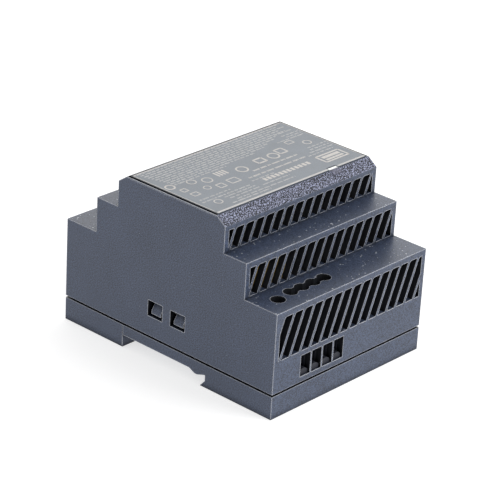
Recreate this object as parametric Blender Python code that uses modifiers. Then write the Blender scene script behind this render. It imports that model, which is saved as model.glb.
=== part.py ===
"""DIN rail power supply: a stepped louvred housing, four modules wide, on a rail base with a sliding latch.

X runs along the rail, Y from the output terminals (-Y) to the input terminals (+Y), and Z from the rail side
(z = 0) to the label. Dimensions below are millimetres; MM turns them into the scene's metres.
"""

import math

import bmesh
import bpy
from mathutils import Matrix, Vector

MM = 0.001
GAP = 0.3

# Overall body
WIDTH = 70.0
LENGTH = 90.0
HEIGHT = 59.0
HALF_W = WIDTH / 2
HALF_L = LENGTH / 2
WALL = 2.0
END_WALL = 2.1
EDGE_ROUND = 0.4

# Steps of the upper shell: half length in Y, and the height where each step's flat ledge lies
SEAM_TOP = 8.5
BASE_TOP = 8.1
LOW_LEDGE = 35.6
MID_HALF = 31.8
MID_LEDGE = 47.5
TOP_HALF = 22.6
BEVEL_FOOT = 56.2
LABEL_HALF = 19.0
SHELL_TOP = 58.75
ROOF = 1.7

# Slanted ventilation slots
SLOT_PITCH = 4.5
SLOT_WIDTH = 3.5
SLOT_SLANT = math.tan(math.radians(21.0))
SLOT_CORNER = 0.9
SLOT_FIELD = 33.15
SLOT_COUNT = 17
# For each step: outer face, slot foot, slot top, and the X of the first slot's right foot corner
SLOT_ROWS = (
    (HALF_L, 19.4, 33.55, -33.05),
    (MID_HALF, 36.0, 45.48, -34.15),
    (TOP_HALF, 47.9, 54.6, -33.5),
)

# Terminals
SCREW_Y = 37.2
OUTPUT_X = (-20.5, -15.42, -10.34, -5.26)
INPUT_X = (9.0, 16.62)
SCREW_HOLE = 4.7
NECK_WIDTH = 2.7
OPENING_WIDTH = 4.45
OPENING_FOOT = 10.4
OPENING_TOP = 17.7
BLOCK_HALF_PITCH = 2.6
SHAFT_HALF = 3.3
LEG_SLOT_HALF = 1.2
LEG_SLOT_TOP = 15.7
BLOCK_FRONT = 42.6
BLOCK_BACK = 32.0
BLOCK_TOP = 24.5
CHAMBER_HALF = 2.15
CHAMBER_FOOT = 10.2
CHAMBER_TOP = 20.9
CHAMBER_BACK = 34.0
CAGE_HALF = 1.85
CAGE_FOOT = 10.5
CAGE_HEIGHT = 7.0
CAGE_DEPTH_HALF = 3.1
CAGE_FLOOR = 1.0
CAGE_HEADER = 1.9
CAGE_WINDOW_HALF = 1.25
CONTACT_FOOT = 14.65
CONTACT_THICK = 0.7
CONTACT_HALF = 0.95
CONTACT_BACK = 33.0
CONTACT_FRONT = 41.0
HEAD_FOOT = 21.3
HEAD_HEIGHT = 2.2
HEAD_RADIUS = 2.0
SHANK_RADIUS = 1.25
SHANK_FOOT = 15.8
DRIVE_SLOT_HALF = 0.4
DRIVE_SLOT_DEPTH = 0.9

# Humps at the foot of the wire openings
LIP_HALF = 1.9
LIP_FOOT = 10.7
LIP_TOP = 12.5
LIP_RADIUS = 2.55
LIP_FRONT = 44.3
LIP_STEPS = 8

# Voltage adjuster
ADJUSTER_X = -27.2
ADJUSTER_Y = -38.25
ADJUSTER_HOLE = 4.8
ADJUSTER_HALF = 3.0
ADJUSTER_TOP = 16.5
DIAL_RADIUS = 2.1
DIAL_HEIGHT = 1.8
DIAL_FOOT = ADJUSTER_TOP + GAP
STEM_RADIUS = 1.3
STEM_FOOT = 14.8

# Lamp window at the label's edge
LAMP_X = 18.5
LAMP_HALF = 2.1
LAMP_BACK = -17.15
LAMP_FRONT = -20.5
LAMP_HEIGHT = 3.5
GUIDE_FOOT = 12.8

# Snap windows in the side walls
SNAP_Y = (-4.85, 4.85)
SNAP_WIDTH = 6.3
SNAP_FOOT = 15.3
SNAP_TOP = 20.7
TAB_WIDTH = 4.1
TAB_INNER = 31.1
TAB_OUTER = 32.7
TAB_CATCH = 34.4
CATCH_FOOT = 16.1
CATCH_TOP = 17.2
TAB_TOP = 19.7

# Rail recess: the rail's face rests on lands at RAIL_SEAT
RAIL_SEAT = 3.2
RECESS_TOP = 4.3
RECESS_HOOK_Y = -17.4
RECESS_LATCH_Y = 18.7
RECESS_BLOCK_TOP = 6.2
LIP_TIP_Y = -15.4
RIDGE_Y = (-14.0, -13.0)
TILT_END_Y = -10.6
PAD_X = (11.0, 30.0)
PAD_Y = (13.2, 17.4)

# Latch and its T-shaped guide
LATCH_HALF = 9.5
LATCH_FOOT = 1.8
LATCH_TOP = 3.3
RIB_HALF = 7.5
RIB_FOOT = 0.2
NOSE_TIP_Y = 15.3
POCKET_HALF = 1.7
PULL_Y = (39.8, 42.8)
PULL_HALF = 3.0
GUIDE_TOP = 3.6
TUNNEL_TOP = 5.6
TUNNEL_HALF = 12.1
POST_Y = (34.6, 36.0)
SPRING_FOOT_Y = 24.0
SPRING_RADIUS = 1.1
SPRING_WIRE = 0.2
SPRING_TURNS = 7
SPRING_AXIS_Z = 1.9

# Main board
BOARD_HALF_X = 30.8
BOARD_HALF_Y = 42.0
BOARD_FOOT = 7.0
BOARD_TOP = 8.6
PILLAR_X = 27.0
PILLAR_Y = 39.0
PILLAR_RADIUS = 2.2
PARTS_FOOT = BOARD_TOP + GAP

# Ring choke that stands on edge: centre, then radii of the ring and of its winding
CHOKE_X = -18.0
CHOKE_Y = 21.0
CHOKE_Z = 18.5
RING_OUTER = 8.0
RING_INNER = 4.6
RING_HALF = 3.0
WINDING_OUTER = 9.3
WINDING_INNER = 3.2
WINDING_HALF = 4.4
WINDING_START = 1.2

# Transformer: twin E cores and the coil on their middle leg
CORE_HALF = (14.0, 6.0)
CORE_SPAN_Z = (11.0, 37.0)
CORE_YOKE = 4.0
CORE_LEG_HALF = 4.0
CORE_WINDOW_END = 10.2
COIL_HALF_Y = 10.5

# Heatsinks and the packages on them
SINK_X = 25.0
SINK_TOP = 42.0
SINK_PLATE = 2.0
FIN_REACH = 5.0
FIN_THICK = 1.6
PACKAGE_DEPTH = 4.4
PACKAGE_HALF = 5.0
PACKAGE_SPAN_Z = (16.0, 25.0)
METAL_TAB = 1.3
METAL_TAB_TOP = 31.5
LEAD_PITCH = 2.54

# Drum choke of the output filter
DRUM_PLACE = (2.0, -22.0)
DRUM_RADIUS = 6.5
DRUM_CORE_RADIUS = 5.6
DRUM_HEIGHT = 12.0
DRUM_FLANGE = 2.0


def clear_scene():
    for item in list(bpy.data.objects):
        bpy.data.objects.remove(item, do_unlink=True)


def make_group(name):
    group = bpy.data.collections.new(name)
    bpy.context.scene.collection.children.link(group)
    return group


clear_scene()
PARTS = make_group("din_rail_power_supply")
CUTTERS = make_group("cutters")


def make_material(name, colour, metallic, roughness):
    material = bpy.data.materials.new(name)
    material.use_nodes = True
    shader = material.node_tree.nodes["Principled BSDF"]
    shader.inputs["Base Color"].default_value = (*colour, 1.0)
    shader.inputs["Metallic"].default_value = metallic
    shader.inputs["Roughness"].default_value = roughness
    return material


def shell_plastic(name):
    return make_material(name, (0.085, 0.095, 0.125), 0.0, 0.45)


def label_film(name):
    return make_material(name, (0.42, 0.44, 0.45), 0.0, 0.5)


def dark_plastic(name):
    return make_material(name, (0.03, 0.03, 0.033), 0.0, 0.45)


def pale_plastic(name):
    return make_material(name, (0.75, 0.76, 0.74), 0.0, 0.4)


def clear_plastic(name):
    return make_material(name, (0.86, 0.9, 0.88), 0.0, 0.2)


def blue_plastic(name):
    return make_material(name, (0.05, 0.16, 0.45), 0.0, 0.4)


def yellow_plastic(name):
    return make_material(name, (0.72, 0.5, 0.06), 0.0, 0.4)


def plated_steel(name):
    return make_material(name, (0.62, 0.62, 0.6), 1.0, 0.35)


def plated_brass(name):
    return make_material(name, (0.78, 0.62, 0.3), 1.0, 0.35)


def bare_aluminium(name):
    return make_material(name, (0.7, 0.71, 0.72), 1.0, 0.4)


def copper_wire(name):
    return make_material(name, (0.72, 0.33, 0.14), 1.0, 0.4)


def board_laminate(name):
    return make_material(name, (0.05, 0.22, 0.09), 0.0, 0.5)


def ferrite(name):
    return make_material(name, (0.05, 0.048, 0.045), 0.0, 0.6)


def add_mesh(name, mesh, group, origin):
    """Puts a mesh built in millimetres and world axes into the scene, with its origin at the given point."""
    mesh.transform(Matrix.Translation(-Vector(origin)))
    mesh.transform(Matrix.Scale(MM, 4))
    item = bpy.data.objects.new(name, mesh)
    item.location = Vector(origin) * MM
    group.objects.link(item)
    if group is CUTTERS:
        item.hide_render = True
        item.display_type = "WIRE"
    return item


def mesh_from(name, shape):
    mesh = bpy.data.meshes.new(name)
    shape.to_mesh(mesh)
    shape.free()
    return mesh


def box_shape(shape, low, high):
    centre = (Vector(low) + Vector(high)) / 2
    size = Vector(high) - Vector(low)
    placed = Matrix.Translation(centre) @ Matrix.Diagonal((*size, 1.0))
    bmesh.ops.create_cube(shape, size=1.0, matrix=placed)


def boxes(name, corners, group=PARTS, origin=(0, 0, 0)):
    """One object that holds a box for each (low corner, high corner) pair."""
    shape = bmesh.new()
    for low, high in corners:
        box_shape(shape, low, high)
    return add_mesh(name, mesh_from(name, shape), group, origin)


AXIS_TURN = {
    "X": Matrix.Rotation(math.radians(90), 4, "Y"),
    "Y": Matrix.Rotation(math.radians(-90), 4, "X"),
    "Z": Matrix.Identity(4),
}


def rods(name, places, axis, radius, length, group=PARTS, origin=(0, 0, 0), sides=24):
    """Cylinders of one size that start at each place and run along an axis."""
    shape = bmesh.new()
    for place in places:
        turn = Matrix.Translation(place) @ AXIS_TURN[axis] @ Matrix.Translation((0, 0, length / 2))
        bmesh.ops.create_cone(
            shape, cap_ends=True, segments=sides, radius1=radius, radius2=radius, depth=length, matrix=turn
        )
    along = AXIS_TURN[axis] @ Vector((0, 0, 1, 0))
    shape.normal_update()
    for face in shape.faces:
        face.smooth = abs(face.normal.dot(along.to_3d())) < 0.5
    for edge in shape.edges:
        edge.smooth = all(face.smooth for face in edge.link_faces)
    return add_mesh(name, mesh_from(name, shape), group, origin)


def curve_mesh(curve):
    """The closed mesh of a filled curve, with doubled points joined and flat faces made whole."""
    holder = bpy.data.objects.new(curve.name, curve)
    mesh = bpy.data.meshes.new_from_object(holder)
    bpy.data.objects.remove(holder)
    shape = bmesh.new()
    shape.from_mesh(mesh)
    bmesh.ops.remove_doubles(shape, verts=shape.verts, dist=1e-4)
    bmesh.ops.dissolve_limit(
        shape, angle_limit=math.radians(1), verts=shape.verts, edges=shape.edges
    )
    bmesh.ops.recalc_face_normals(shape, faces=shape.faces)
    shape.to_mesh(mesh)
    shape.free()
    return mesh


PRISM_TURN = {
    # outline (y, z) pushed along X
    "X": Matrix(((0, 0, 1, 0), (1, 0, 0, 0), (0, 1, 0, 0), (0, 0, 0, 1))),
    # outline (x, z) pushed along Y
    "Y": Matrix(((1, 0, 0, 0), (0, 0, -1, 0), (0, 1, 0, 0), (0, 0, 0, 1))),
    # outline (x, y) pushed along Z
    "Z": Matrix.Identity(4),
}


def prism(name, outline, axis, low, high, group=PARTS, origin=(0, 0, 0)):
    """An outline in the plane across an axis, made solid from low to high along that axis."""
    curve = bpy.data.curves.new(name, "CURVE")
    curve.dimensions = "2D"
    curve.fill_mode = "BOTH"
    curve.extrude = (high - low) / 2
    spline = curve.splines.new("POLY")
    spline.points.add(len(outline) - 1)
    for point, (u, v) in zip(spline.points, outline):
        point.co = (u, v, 0.0, 1.0)
    spline.use_cyclic_u = True
    mesh = curve_mesh(curve)
    middle = (low + high) / 2
    if axis == "Y":
        middle = -middle
    mesh.transform(PRISM_TURN[axis] @ Matrix.Translation((0, 0, middle)))
    return add_mesh(name, mesh, group, origin)


def round_edges(item, width, segments=2, angle=30.0):
    bevel = item.modifiers.new("round_edges", "BEVEL")
    bevel.width = width * MM
    bevel.segments = segments
    bevel.limit_method = "ANGLE"
    bevel.angle_limit = math.radians(angle)
    return item


def combine(item, operation, *others):
    for other in others:
        step = item.modifiers.new(other.name, "BOOLEAN")
        step.operation = operation
        step.solver = "EXACT"
        step.object = other
    return item


def cut(item, *others):
    return combine(item, "DIFFERENCE", *others)


def join(item, *others):
    return combine(item, "UNION", *others)


def paint(item, material):
    item.data.materials.clear()
    item.data.materials.append(material(item.name))
    return item


def mirrored(points):
    return [(-y, z) for y, z in reversed(points)]


# ---------------------------------------------------------------- enclosure


def shell_outline(inset, roof, foot):
    """Half profile of the stepped shell (y, z) from the foot up to the label edge, then mirrored."""
    half = [
        (HALF_L - inset, foot),
        (HALF_L - inset, LOW_LEDGE - roof),
        (MID_HALF - inset, LOW_LEDGE - roof),
        (MID_HALF - inset, MID_LEDGE - roof),
        (TOP_HALF - inset, MID_LEDGE - roof),
        (TOP_HALF - inset, BEVEL_FOOT - 0.7 * roof),
        (LABEL_HALF - 0.5 * inset, SHELL_TOP - roof),
    ]
    return half + mirrored(half)


def rounded_corner(before, corner, after, reach, steps=3):
    """Points that round an outline's corner off, starting and ending at the given reach from it."""
    start = Vector(corner) + (Vector(before) - Vector(corner)).normalized() * reach
    end = Vector(corner) + (Vector(after) - Vector(corner)).normalized() * reach
    points = []
    for index in range(steps + 1):
        t = index / steps
        point = start * (1 - t) ** 2 + Vector(corner) * 2 * t * (1 - t) + end * t**2
        points.append((point.x, point.y))
    return points


def slot_cutter(row, side):
    """The slanted slots of one step on one side, cut off at the field's two ends."""
    face, foot, top, corner = SLOT_ROWS[row]
    name = f"slots_{row + 1}_{'out' if side < 0 else 'in'}"
    shift = SLOT_SLANT * (top - foot)
    outline = [(corner - SLOT_WIDTH, foot), (corner, foot), (corner + shift, top)]
    outline += rounded_corner(
        (corner + shift, top), (corner + shift - SLOT_WIDTH, top), (corner - SLOT_WIDTH, foot), SLOT_CORNER
    )
    cutter = prism(name, outline, "Y", -face - 1, -face + END_WALL + 1, CUTTERS)
    array = cutter.modifiers.new("array", "ARRAY")
    array.count = SLOT_COUNT
    array.use_relative_offset = False
    array.use_constant_offset = True
    array.constant_offset_displace = (SLOT_PITCH * MM, 0, 0)
    field = boxes(
        name + "_field",
        [((-SLOT_FIELD, -face - 2, foot - 1), (SLOT_FIELD, -face + END_WALL + 2, top + 1))],
        CUTTERS,
    )
    combine(cutter, "INTERSECT", field)
    if side > 0:
        cutter.rotation_euler.z = math.pi
        field.rotation_euler.z = math.pi
    return cutter


def output_hole_cutters():
    """Four screwdriver holes that run into each other through short necks."""
    places = [(x, -SCREW_Y, BLOCK_TOP - 1) for x in OUTPUT_X]
    holes = rods("output_holes", places, "Z", SCREW_HOLE / 2, 20, CUTTERS, sides=28)
    half = NECK_WIDTH / 2
    neck = boxes(
        "output_neck",
        [
            (
                (OUTPUT_X[0], -SCREW_Y - half, BLOCK_TOP - 2),
                (OUTPUT_X[-1], -SCREW_Y + half, LOW_LEDGE + 5),
            )
        ],
        CUTTERS,
    )
    return holes, neck


def shafts():
    """Screwdriver shafts that hang from the low ledges down to the terminals and the adjuster."""
    output = boxes(
        "output_shaft",
        [
            (
                (OUTPUT_X[0] - SHAFT_HALF, -SCREW_Y - SHAFT_HALF, BLOCK_TOP + GAP),
                (OUTPUT_X[-1] + SHAFT_HALF, -SCREW_Y + SHAFT_HALF, LOW_LEDGE - 0.6),
            )
        ],
        CUTTERS,
    )
    feed = boxes(
        "input_shaft",
        [
            (
                (INPUT_X[0] - SHAFT_HALF, SCREW_Y - SHAFT_HALF, BLOCK_TOP + GAP),
                (INPUT_X[-1] + SHAFT_HALF, SCREW_Y + SHAFT_HALF, LOW_LEDGE - 0.6),
            )
        ],
        CUTTERS,
    )
    adjuster = rods(
        "adjuster_shaft", [(ADJUSTER_X, ADJUSTER_Y, 20.0)], "Z", 3.4, LOW_LEDGE - 20.6, CUTTERS
    )
    return output, feed, adjuster


def opening_boxes():
    """Wire openings in both end walls."""
    half = OPENING_WIDTH / 2
    spans = []
    for x in OUTPUT_X:
        spans.append(((x - half, -HALF_L - 1, OPENING_FOOT), (x + half, -HALF_L + 4, OPENING_TOP)))
    for x in INPUT_X:
        spans.append(((x - half, HALF_L - 4, OPENING_FOOT), (x + half, HALF_L + 1, OPENING_TOP)))
    return boxes("wire_openings", spans, CUTTERS)


def snap_boxes():
    half = SNAP_WIDTH / 2
    spans = []
    for x in (-HALF_W - 1, HALF_W - WALL - 1):
        for y in SNAP_Y:
            spans.append(((x, y - half, SNAP_FOOT), (x + WALL + 2, y + half, SNAP_TOP)))
    return boxes("snap_windows", spans, CUTTERS)


def lamp_bore():
    low = (LAMP_X - LAMP_HALF, LAMP_FRONT, BEVEL_FOOT - 3)
    high = (LAMP_X + LAMP_HALF, LAMP_BACK, HEIGHT + 2)
    return boxes("lamp_bore", [(low, high)], CUTTERS)


def front_housing():
    shell = prism("front_housing", shell_outline(0, 0, SEAM_TOP), "X", -HALF_W, HALF_W)
    round_edges(shell, EDGE_ROUND)
    inside = HALF_W - WALL
    cavity = prism(
        "housing_cavity", shell_outline(END_WALL, ROOF, SEAM_TOP - 2), "X", -inside, inside, CUTTERS
    )
    cut(shell, cavity)
    join(shell, *shafts())
    for row in range(len(SLOT_ROWS)):
        cut(shell, slot_cutter(row, -1), slot_cutter(row, 1))
    input_holes = rods(
        "input_holes",
        [(x, SCREW_Y, BLOCK_TOP - 1) for x in INPUT_X],
        "Z",
        SCREW_HOLE / 2,
        20,
        CUTTERS,
        sides=28,
    )
    adjuster_hole = rods(
        "adjuster_hole", [(ADJUSTER_X, ADJUSTER_Y, 18)], "Z", ADJUSTER_HOLE / 2, 20, CUTTERS, sides=28
    )
    cut(shell, *output_hole_cutters(), input_holes, adjuster_hole)
    cut(shell, opening_boxes(), snap_boxes(), lamp_bore())
    return paint(shell, shell_plastic)


def recess_cutter():
    """Rail recess: hook pocket with its sloping lip, tilting land, ceiling and latch side wall."""
    outline = [
        (RECESS_LATCH_Y, -1.0),
        (RECESS_LATCH_Y, RECESS_TOP),
        (TILT_END_Y, RECESS_TOP),
        (RIDGE_Y[1], RAIL_SEAT),
        (RIDGE_Y[0], RAIL_SEAT),
        (RECESS_HOOK_Y, RECESS_TOP),
        (RECESS_HOOK_Y, 2.3),
        (LIP_TIP_Y, 0.0),
        (LIP_TIP_Y + 0.9, -1.0),
    ]
    return prism("rail_recess", outline, "X", -HALF_W - 1, HALF_W + 1, CUTTERS)


def tray_cutters():
    """Hollows inside the base, left open at the top."""
    inside_x = HALF_W - WALL
    inside_y = HALF_L - WALL
    top = BASE_TOP + 2
    hook_side = boxes(
        "tray_output", [((-inside_x, -inside_y, WALL), (inside_x, RECESS_HOOK_Y - 2, top))], CUTTERS
    )
    middle = boxes(
        "tray_middle",
        [((-inside_x, RECESS_HOOK_Y - 3, RECESS_BLOCK_TOP), (inside_x, RECESS_LATCH_Y + 3, top))],
        CUTTERS,
    )
    latch_side = boxes(
        "tray_input",
        [
            ((-inside_x, RECESS_LATCH_Y + 2, WALL), (-TUNNEL_HALF, inside_y, top)),
            ((TUNNEL_HALF, RECESS_LATCH_Y + 2, WALL), (inside_x, inside_y, top)),
        ],
        CUTTERS,
    )
    over = TUNNEL_HALF + 0.9
    over_guide = boxes(
        "tray_over_guide", [((-over, RECESS_LATCH_Y + 1, TUNNEL_TOP), (over, inside_y, top))], CUTTERS
    )
    return hook_side, middle, latch_side, over_guide


def latch_guide_cutters():
    rib = RIB_HALF + GAP
    plate = LATCH_HALF + GAP
    start = PAD_Y[1] - 0.4
    foot = LATCH_FOOT - GAP
    narrow = boxes("guide_narrow", [((-rib, start, -1), (rib, HALF_L + 1, foot + 0.5))], CUTTERS)
    wide = boxes("guide_wide", [((-plate, start, foot), (plate, HALF_L + 1, GUIDE_TOP))], CUTTERS)
    return narrow, wide


def snap_tab(side, y):
    """A springy tab that stands in the shell's window: a catch block with a ramp above it."""
    outline = [
        (TAB_INNER, BASE_TOP - 4),
        (TAB_OUTER, BASE_TOP - 4),
        (TAB_OUTER, CATCH_FOOT),
        (TAB_CATCH, CATCH_FOOT),
        (TAB_CATCH, CATCH_TOP),
        (TAB_OUTER, TAB_TOP),
        (TAB_INNER, TAB_TOP),
    ]
    if side < 0:
        outline = mirrored(outline)
    name = f"snap_tab_{'left' if side < 0 else 'right'}_{'a' if y < 0 else 'b'}"
    return prism(name, outline, "Y", y - TAB_WIDTH / 2, y + TAB_WIDTH / 2, CUTTERS)


def tab_anchors():
    """Blocks that tie the snap tabs to the tray's floor."""
    near = TAB_INNER - 0.3
    far = HALF_W - 1.5
    half = TAB_WIDTH / 2 + 0.95
    spans = []
    for low_x, high_x in ((-far, -near), (near, far)):
        for y in SNAP_Y:
            low = (low_x, y - half, RECESS_BLOCK_TOP - 0.5)
            high = (high_x, y + half, BASE_TOP - 0.6)
            spans.append((low, high))
    return boxes("tab_anchors", spans, CUTTERS)


def rear_base():
    base = boxes("rear_base", [((-HALF_W, -HALF_L, 0), (HALF_W, HALF_L, BASE_TOP))])
    round_edges(base, EDGE_ROUND)
    step = boxes(
        "seam_step",
        [((-HALF_W + 0.6, -HALF_L + 0.6, BASE_TOP - 1), (HALF_W - 0.6, HALF_L - 0.6, SEAM_TOP - GAP))],
        CUTTERS,
    )
    join(base, step)
    cut(base, *tray_cutters(), recess_cutter(), *latch_guide_cutters())
    pads = boxes(
        "seat_pads",
        [
            ((low_x, PAD_Y[0], RAIL_SEAT), (high_x, PAD_Y[1], RECESS_TOP + 0.7))
            for low_x, high_x in ((-PAD_X[1], -PAD_X[0]), PAD_X)
        ],
        CUTTERS,
    )
    post = boxes("spring_post", [((-1.3, POST_Y[0], 1.0), (1.3, POST_Y[1], GUIDE_TOP + 0.5))], CUTTERS)
    pillars = rods(
        "board_pillars",
        [(x, y, WALL - 0.5) for x in (-PILLAR_X, PILLAR_X) for y in (-PILLAR_Y, PILLAR_Y)],
        "Z",
        PILLAR_RADIUS,
        BOARD_FOOT - GAP - WALL + 0.5,
        CUTTERS,
    )
    join(base, pads, post, pillars, tab_anchors())
    for side in (-1, 1):
        for y in SNAP_Y:
            join(base, snap_tab(side, y))
    return paint(base, shell_plastic)


def front_label():
    half = LABEL_HALF - 0.4
    film = boxes("front_label", [((-HALF_W + 0.5, -half, SHELL_TOP + 0.05), (HALF_W - 0.5, half, HEIGHT))])
    low = (LAMP_X - LAMP_HALF, LAMP_FRONT, SHELL_TOP - 1)
    high = (LAMP_X + LAMP_HALF, LAMP_BACK, HEIGHT + 1)
    cut(film, boxes("label_notch", [(low, high)], CUTTERS))
    return paint(film, label_film)


# ---------------------------------------------------------------- latch


def rail_latch():
    """Slides along +Y to let go of the rail. Its nose reaches under the rail's edge."""
    origin = (0, RECESS_LATCH_Y, LATCH_TOP)
    back = RECESS_LATCH_Y + GAP
    plate = boxes(
        "rail_latch", [((-LATCH_HALF, back, LATCH_FOOT), (LATCH_HALF, HALF_L, LATCH_TOP))], PARTS, origin
    )
    rib = boxes(
        "latch_rib", [((-RIB_HALF, back - 0.6, RIB_FOOT), (RIB_HALF, HALF_L - 0.01, LATCH_FOOT + 0.4))], CUTTERS
    )
    nose_outline = [
        (back + 0.4, RIB_FOOT),
        (NOSE_TIP_Y + 2.1, RIB_FOOT),
        (NOSE_TIP_Y, 1.4),
        (NOSE_TIP_Y, 2.0),
        (back + 0.4, 2.0),
    ]
    nose = prism("latch_nose", nose_outline, "X", -RIB_HALF, RIB_HALF, CUTTERS)
    join(plate, rib, nose)
    pocket = boxes(
        "latch_pocket",
        [((-POCKET_HALF, SPRING_FOOT_Y - 0.3, -1), (POCKET_HALF, POST_Y[1] + 0.4, LATCH_TOP + 1))],
        CUTTERS,
    )
    pull = boxes(
        "latch_pull", [((-PULL_HALF, PULL_Y[0], -1), (PULL_HALF, PULL_Y[1], LATCH_TOP + 1))], CUTTERS
    )
    cut(plate, pocket, pull)
    return paint(plate, dark_plastic)


def latch_spring():
    """Compression spring between the latch and the base's post."""
    length = POST_Y[0] - GAP - SPRING_FOOT_Y - 2 * SPRING_WIRE
    curve = bpy.data.curves.new("latch_spring", "CURVE")
    curve.dimensions = "3D"
    curve.bevel_depth = SPRING_WIRE
    curve.bevel_resolution = 1
    curve.use_fill_caps = True
    spline = curve.splines.new("POLY")
    per_turn = 12
    count = SPRING_TURNS * per_turn + 1
    spline.points.add(count - 1)
    for index, point in enumerate(spline.points):
        angle = 2 * math.pi * index / per_turn
        along = SPRING_FOOT_Y + SPRING_WIRE + length * index / (count - 1)
        point.co = (
            SPRING_RADIUS * math.cos(angle),
            along,
            SPRING_AXIS_Z + SPRING_RADIUS * math.sin(angle),
            1.0,
        )
    mesh = curve_mesh(curve)
    for face in mesh.polygons:
        face.use_smooth = True
    spring = add_mesh("latch_spring", mesh, PARTS, (0, SPRING_FOOT_Y, SPRING_AXIS_Z))
    return paint(spring, plated_steel)


# ---------------------------------------------------------------- terminals


def y_span(side, near, far):
    """Two distances from the middle, as a low and high Y on the given side."""
    low, high = sorted((side * near, side * far))
    return low, high


def terminal_block(name, side, places):
    left = places[0] - BLOCK_HALF_PITCH
    right = places[-1] + BLOCK_HALF_PITCH
    low, high = y_span(side, BLOCK_BACK, BLOCK_FRONT)
    block = boxes(name, [((left, low, PARTS_FOOT), (right, high, BLOCK_TOP))])
    round_edges(block, 0.3, 1)
    front_low, front_high = y_span(side, CHAMBER_BACK, BLOCK_FRONT + 1)
    chambers = boxes(
        name + "_chambers",
        [
            ((x - CHAMBER_HALF, front_low, CHAMBER_FOOT), (x + CHAMBER_HALF, front_high, CHAMBER_TOP))
            for x in places
        ],
        CUTTERS,
    )
    back_low, back_high = y_span(side, BLOCK_BACK - 1, CHAMBER_BACK + 0.5)
    legs = boxes(
        name + "_leg_slots",
        [
            ((x - LEG_SLOT_HALF, back_low, PARTS_FOOT - 1), (x + LEG_SLOT_HALF, back_high, LEG_SLOT_TOP))
            for x in places
        ],
        CUTTERS,
    )
    heads = rods(
        name + "_head_bores",
        [(x, side * SCREW_Y, HEAD_FOOT - GAP) for x in places],
        "Z",
        HEAD_RADIUS + GAP,
        6,
        CUTTERS,
    )
    shanks = rods(
        name + "_shank_bores",
        [(x, side * SCREW_Y, CHAMBER_TOP - 1) for x in places],
        "Z",
        SHANK_RADIUS + GAP,
        3,
        CUTTERS,
        sides=16,
    )
    cut(block, chambers, legs, heads, shanks)
    for index, x in enumerate(places):
        join(block, *guide_lip(f"{name}_lip_{index + 1}", side, x))
    return paint(block, pale_plastic if side > 0 else dark_plastic)


def guide_lip(name, side, x):
    """A rounded hump at the foot of a wire opening, which keeps a wire from passing under the cage."""
    outline = [(x - LIP_HALF, LIP_FOOT), (x + LIP_HALF, LIP_FOOT)]
    for index in range(LIP_STEPS + 1):
        offset = LIP_HALF * (1 - 2 * index / LIP_STEPS)
        outline.append((x + offset, LIP_TOP - LIP_RADIUS + math.sqrt(LIP_RADIUS**2 - offset**2)))
    low, high = y_span(side, BLOCK_FRONT - 1.2, LIP_FRONT)
    hump = prism(name, outline, "Y", low, high, CUTTERS)
    root_low, root_high = y_span(side, BLOCK_FRONT - 1.1, BLOCK_FRONT - 0.05)
    half = LIP_HALF - 0.1
    root = boxes(
        name + "_root",
        [((x - half, root_low, CHAMBER_FOOT - 0.5), (x + half, root_high, LIP_FOOT + 0.4))],
        CUTTERS,
    )
    return hump, root


def terminal_screw(name, x, y):
    """Clamp screw with a slotted head. Its origin lies on its axis, under the head."""
    origin = (x, y, HEAD_FOOT)
    head = rods(name, [(x, y, HEAD_FOOT)], "Z", HEAD_RADIUS, HEAD_HEIGHT, PARTS, origin, sides=24)
    round_edges(head, 0.2, 1, 40.0)
    shank = rods(
        name + "_shank",
        [(x, y, SHANK_FOOT)],
        "Z",
        SHANK_RADIUS,
        HEAD_FOOT - SHANK_FOOT + 0.5,
        CUTTERS,
        sides=16,
    )
    top = HEAD_FOOT + HEAD_HEIGHT
    slot = boxes(
        name + "_slot",
        [((x - 3, y - DRIVE_SLOT_HALF, top - DRIVE_SLOT_DEPTH), (x + 3, y + DRIVE_SLOT_HALF, top + 1))],
        CUTTERS,
    )
    join(head, shank)
    cut(head, slot)
    return paint(head, plated_steel)


def clamp_cage(name, x, y):
    """Rising cage: the wire lies in its window, between its floor and the contact bar."""
    origin = (x, y, CAGE_FOOT)
    top = CAGE_FOOT + CAGE_HEIGHT
    low = (x - CAGE_HALF, y - CAGE_DEPTH_HALF, CAGE_FOOT)
    high = (x + CAGE_HALF, y + CAGE_DEPTH_HALF, top)
    cage = boxes(name, [(low, high)], PARTS, origin)
    round_edges(cage, 0.25, 1)
    window_low = (x - CAGE_WINDOW_HALF, y - CAGE_DEPTH_HALF - 1, CAGE_FOOT + CAGE_FLOOR)
    window_high = (x + CAGE_WINDOW_HALF, y + CAGE_DEPTH_HALF + 1, top - CAGE_HEADER)
    window = boxes(name + "_window", [(window_low, window_high)], CUTTERS)
    bore = rods(
        name + "_bore", [(x, y, top - CAGE_HEADER - 0.6)], "Z", SHANK_RADIUS + 0.2, 4, CUTTERS, sides=16
    )
    cut(cage, window, bore)
    return paint(cage, plated_steel)


def contact_bar(name, x, side):
    """Flat bar through the cage, turned down behind it onto the board."""
    bar_top = CONTACT_FOOT + CONTACT_THICK
    low, high = y_span(side, CONTACT_BACK, CONTACT_FRONT)
    bar = boxes(name, [((x - CONTACT_HALF, low, CONTACT_FOOT), (x + CONTACT_HALF, high, bar_top))])
    leg_low, leg_high = y_span(side, CONTACT_BACK - 0.2, CONTACT_BACK + 0.5)
    half = CONTACT_HALF - 0.05
    leg = boxes(name + "_leg", [((x - half, leg_low, PARTS_FOOT), (x + half, leg_high, bar_top - 0.05))], CUTTERS)
    join(bar, leg)
    return paint(bar, plated_brass)


def terminals(kind, side, places):
    terminal_block(f"{kind}_terminal_block", side, places)
    for index, x in enumerate(places):
        terminal_screw(f"{kind}_screw_{index + 1}", x, side * SCREW_Y)
        clamp_cage(f"{kind}_cage_{index + 1}", x, side * SCREW_Y)
        contact_bar(f"{kind}_contact_{index + 1}", x, side)


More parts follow.
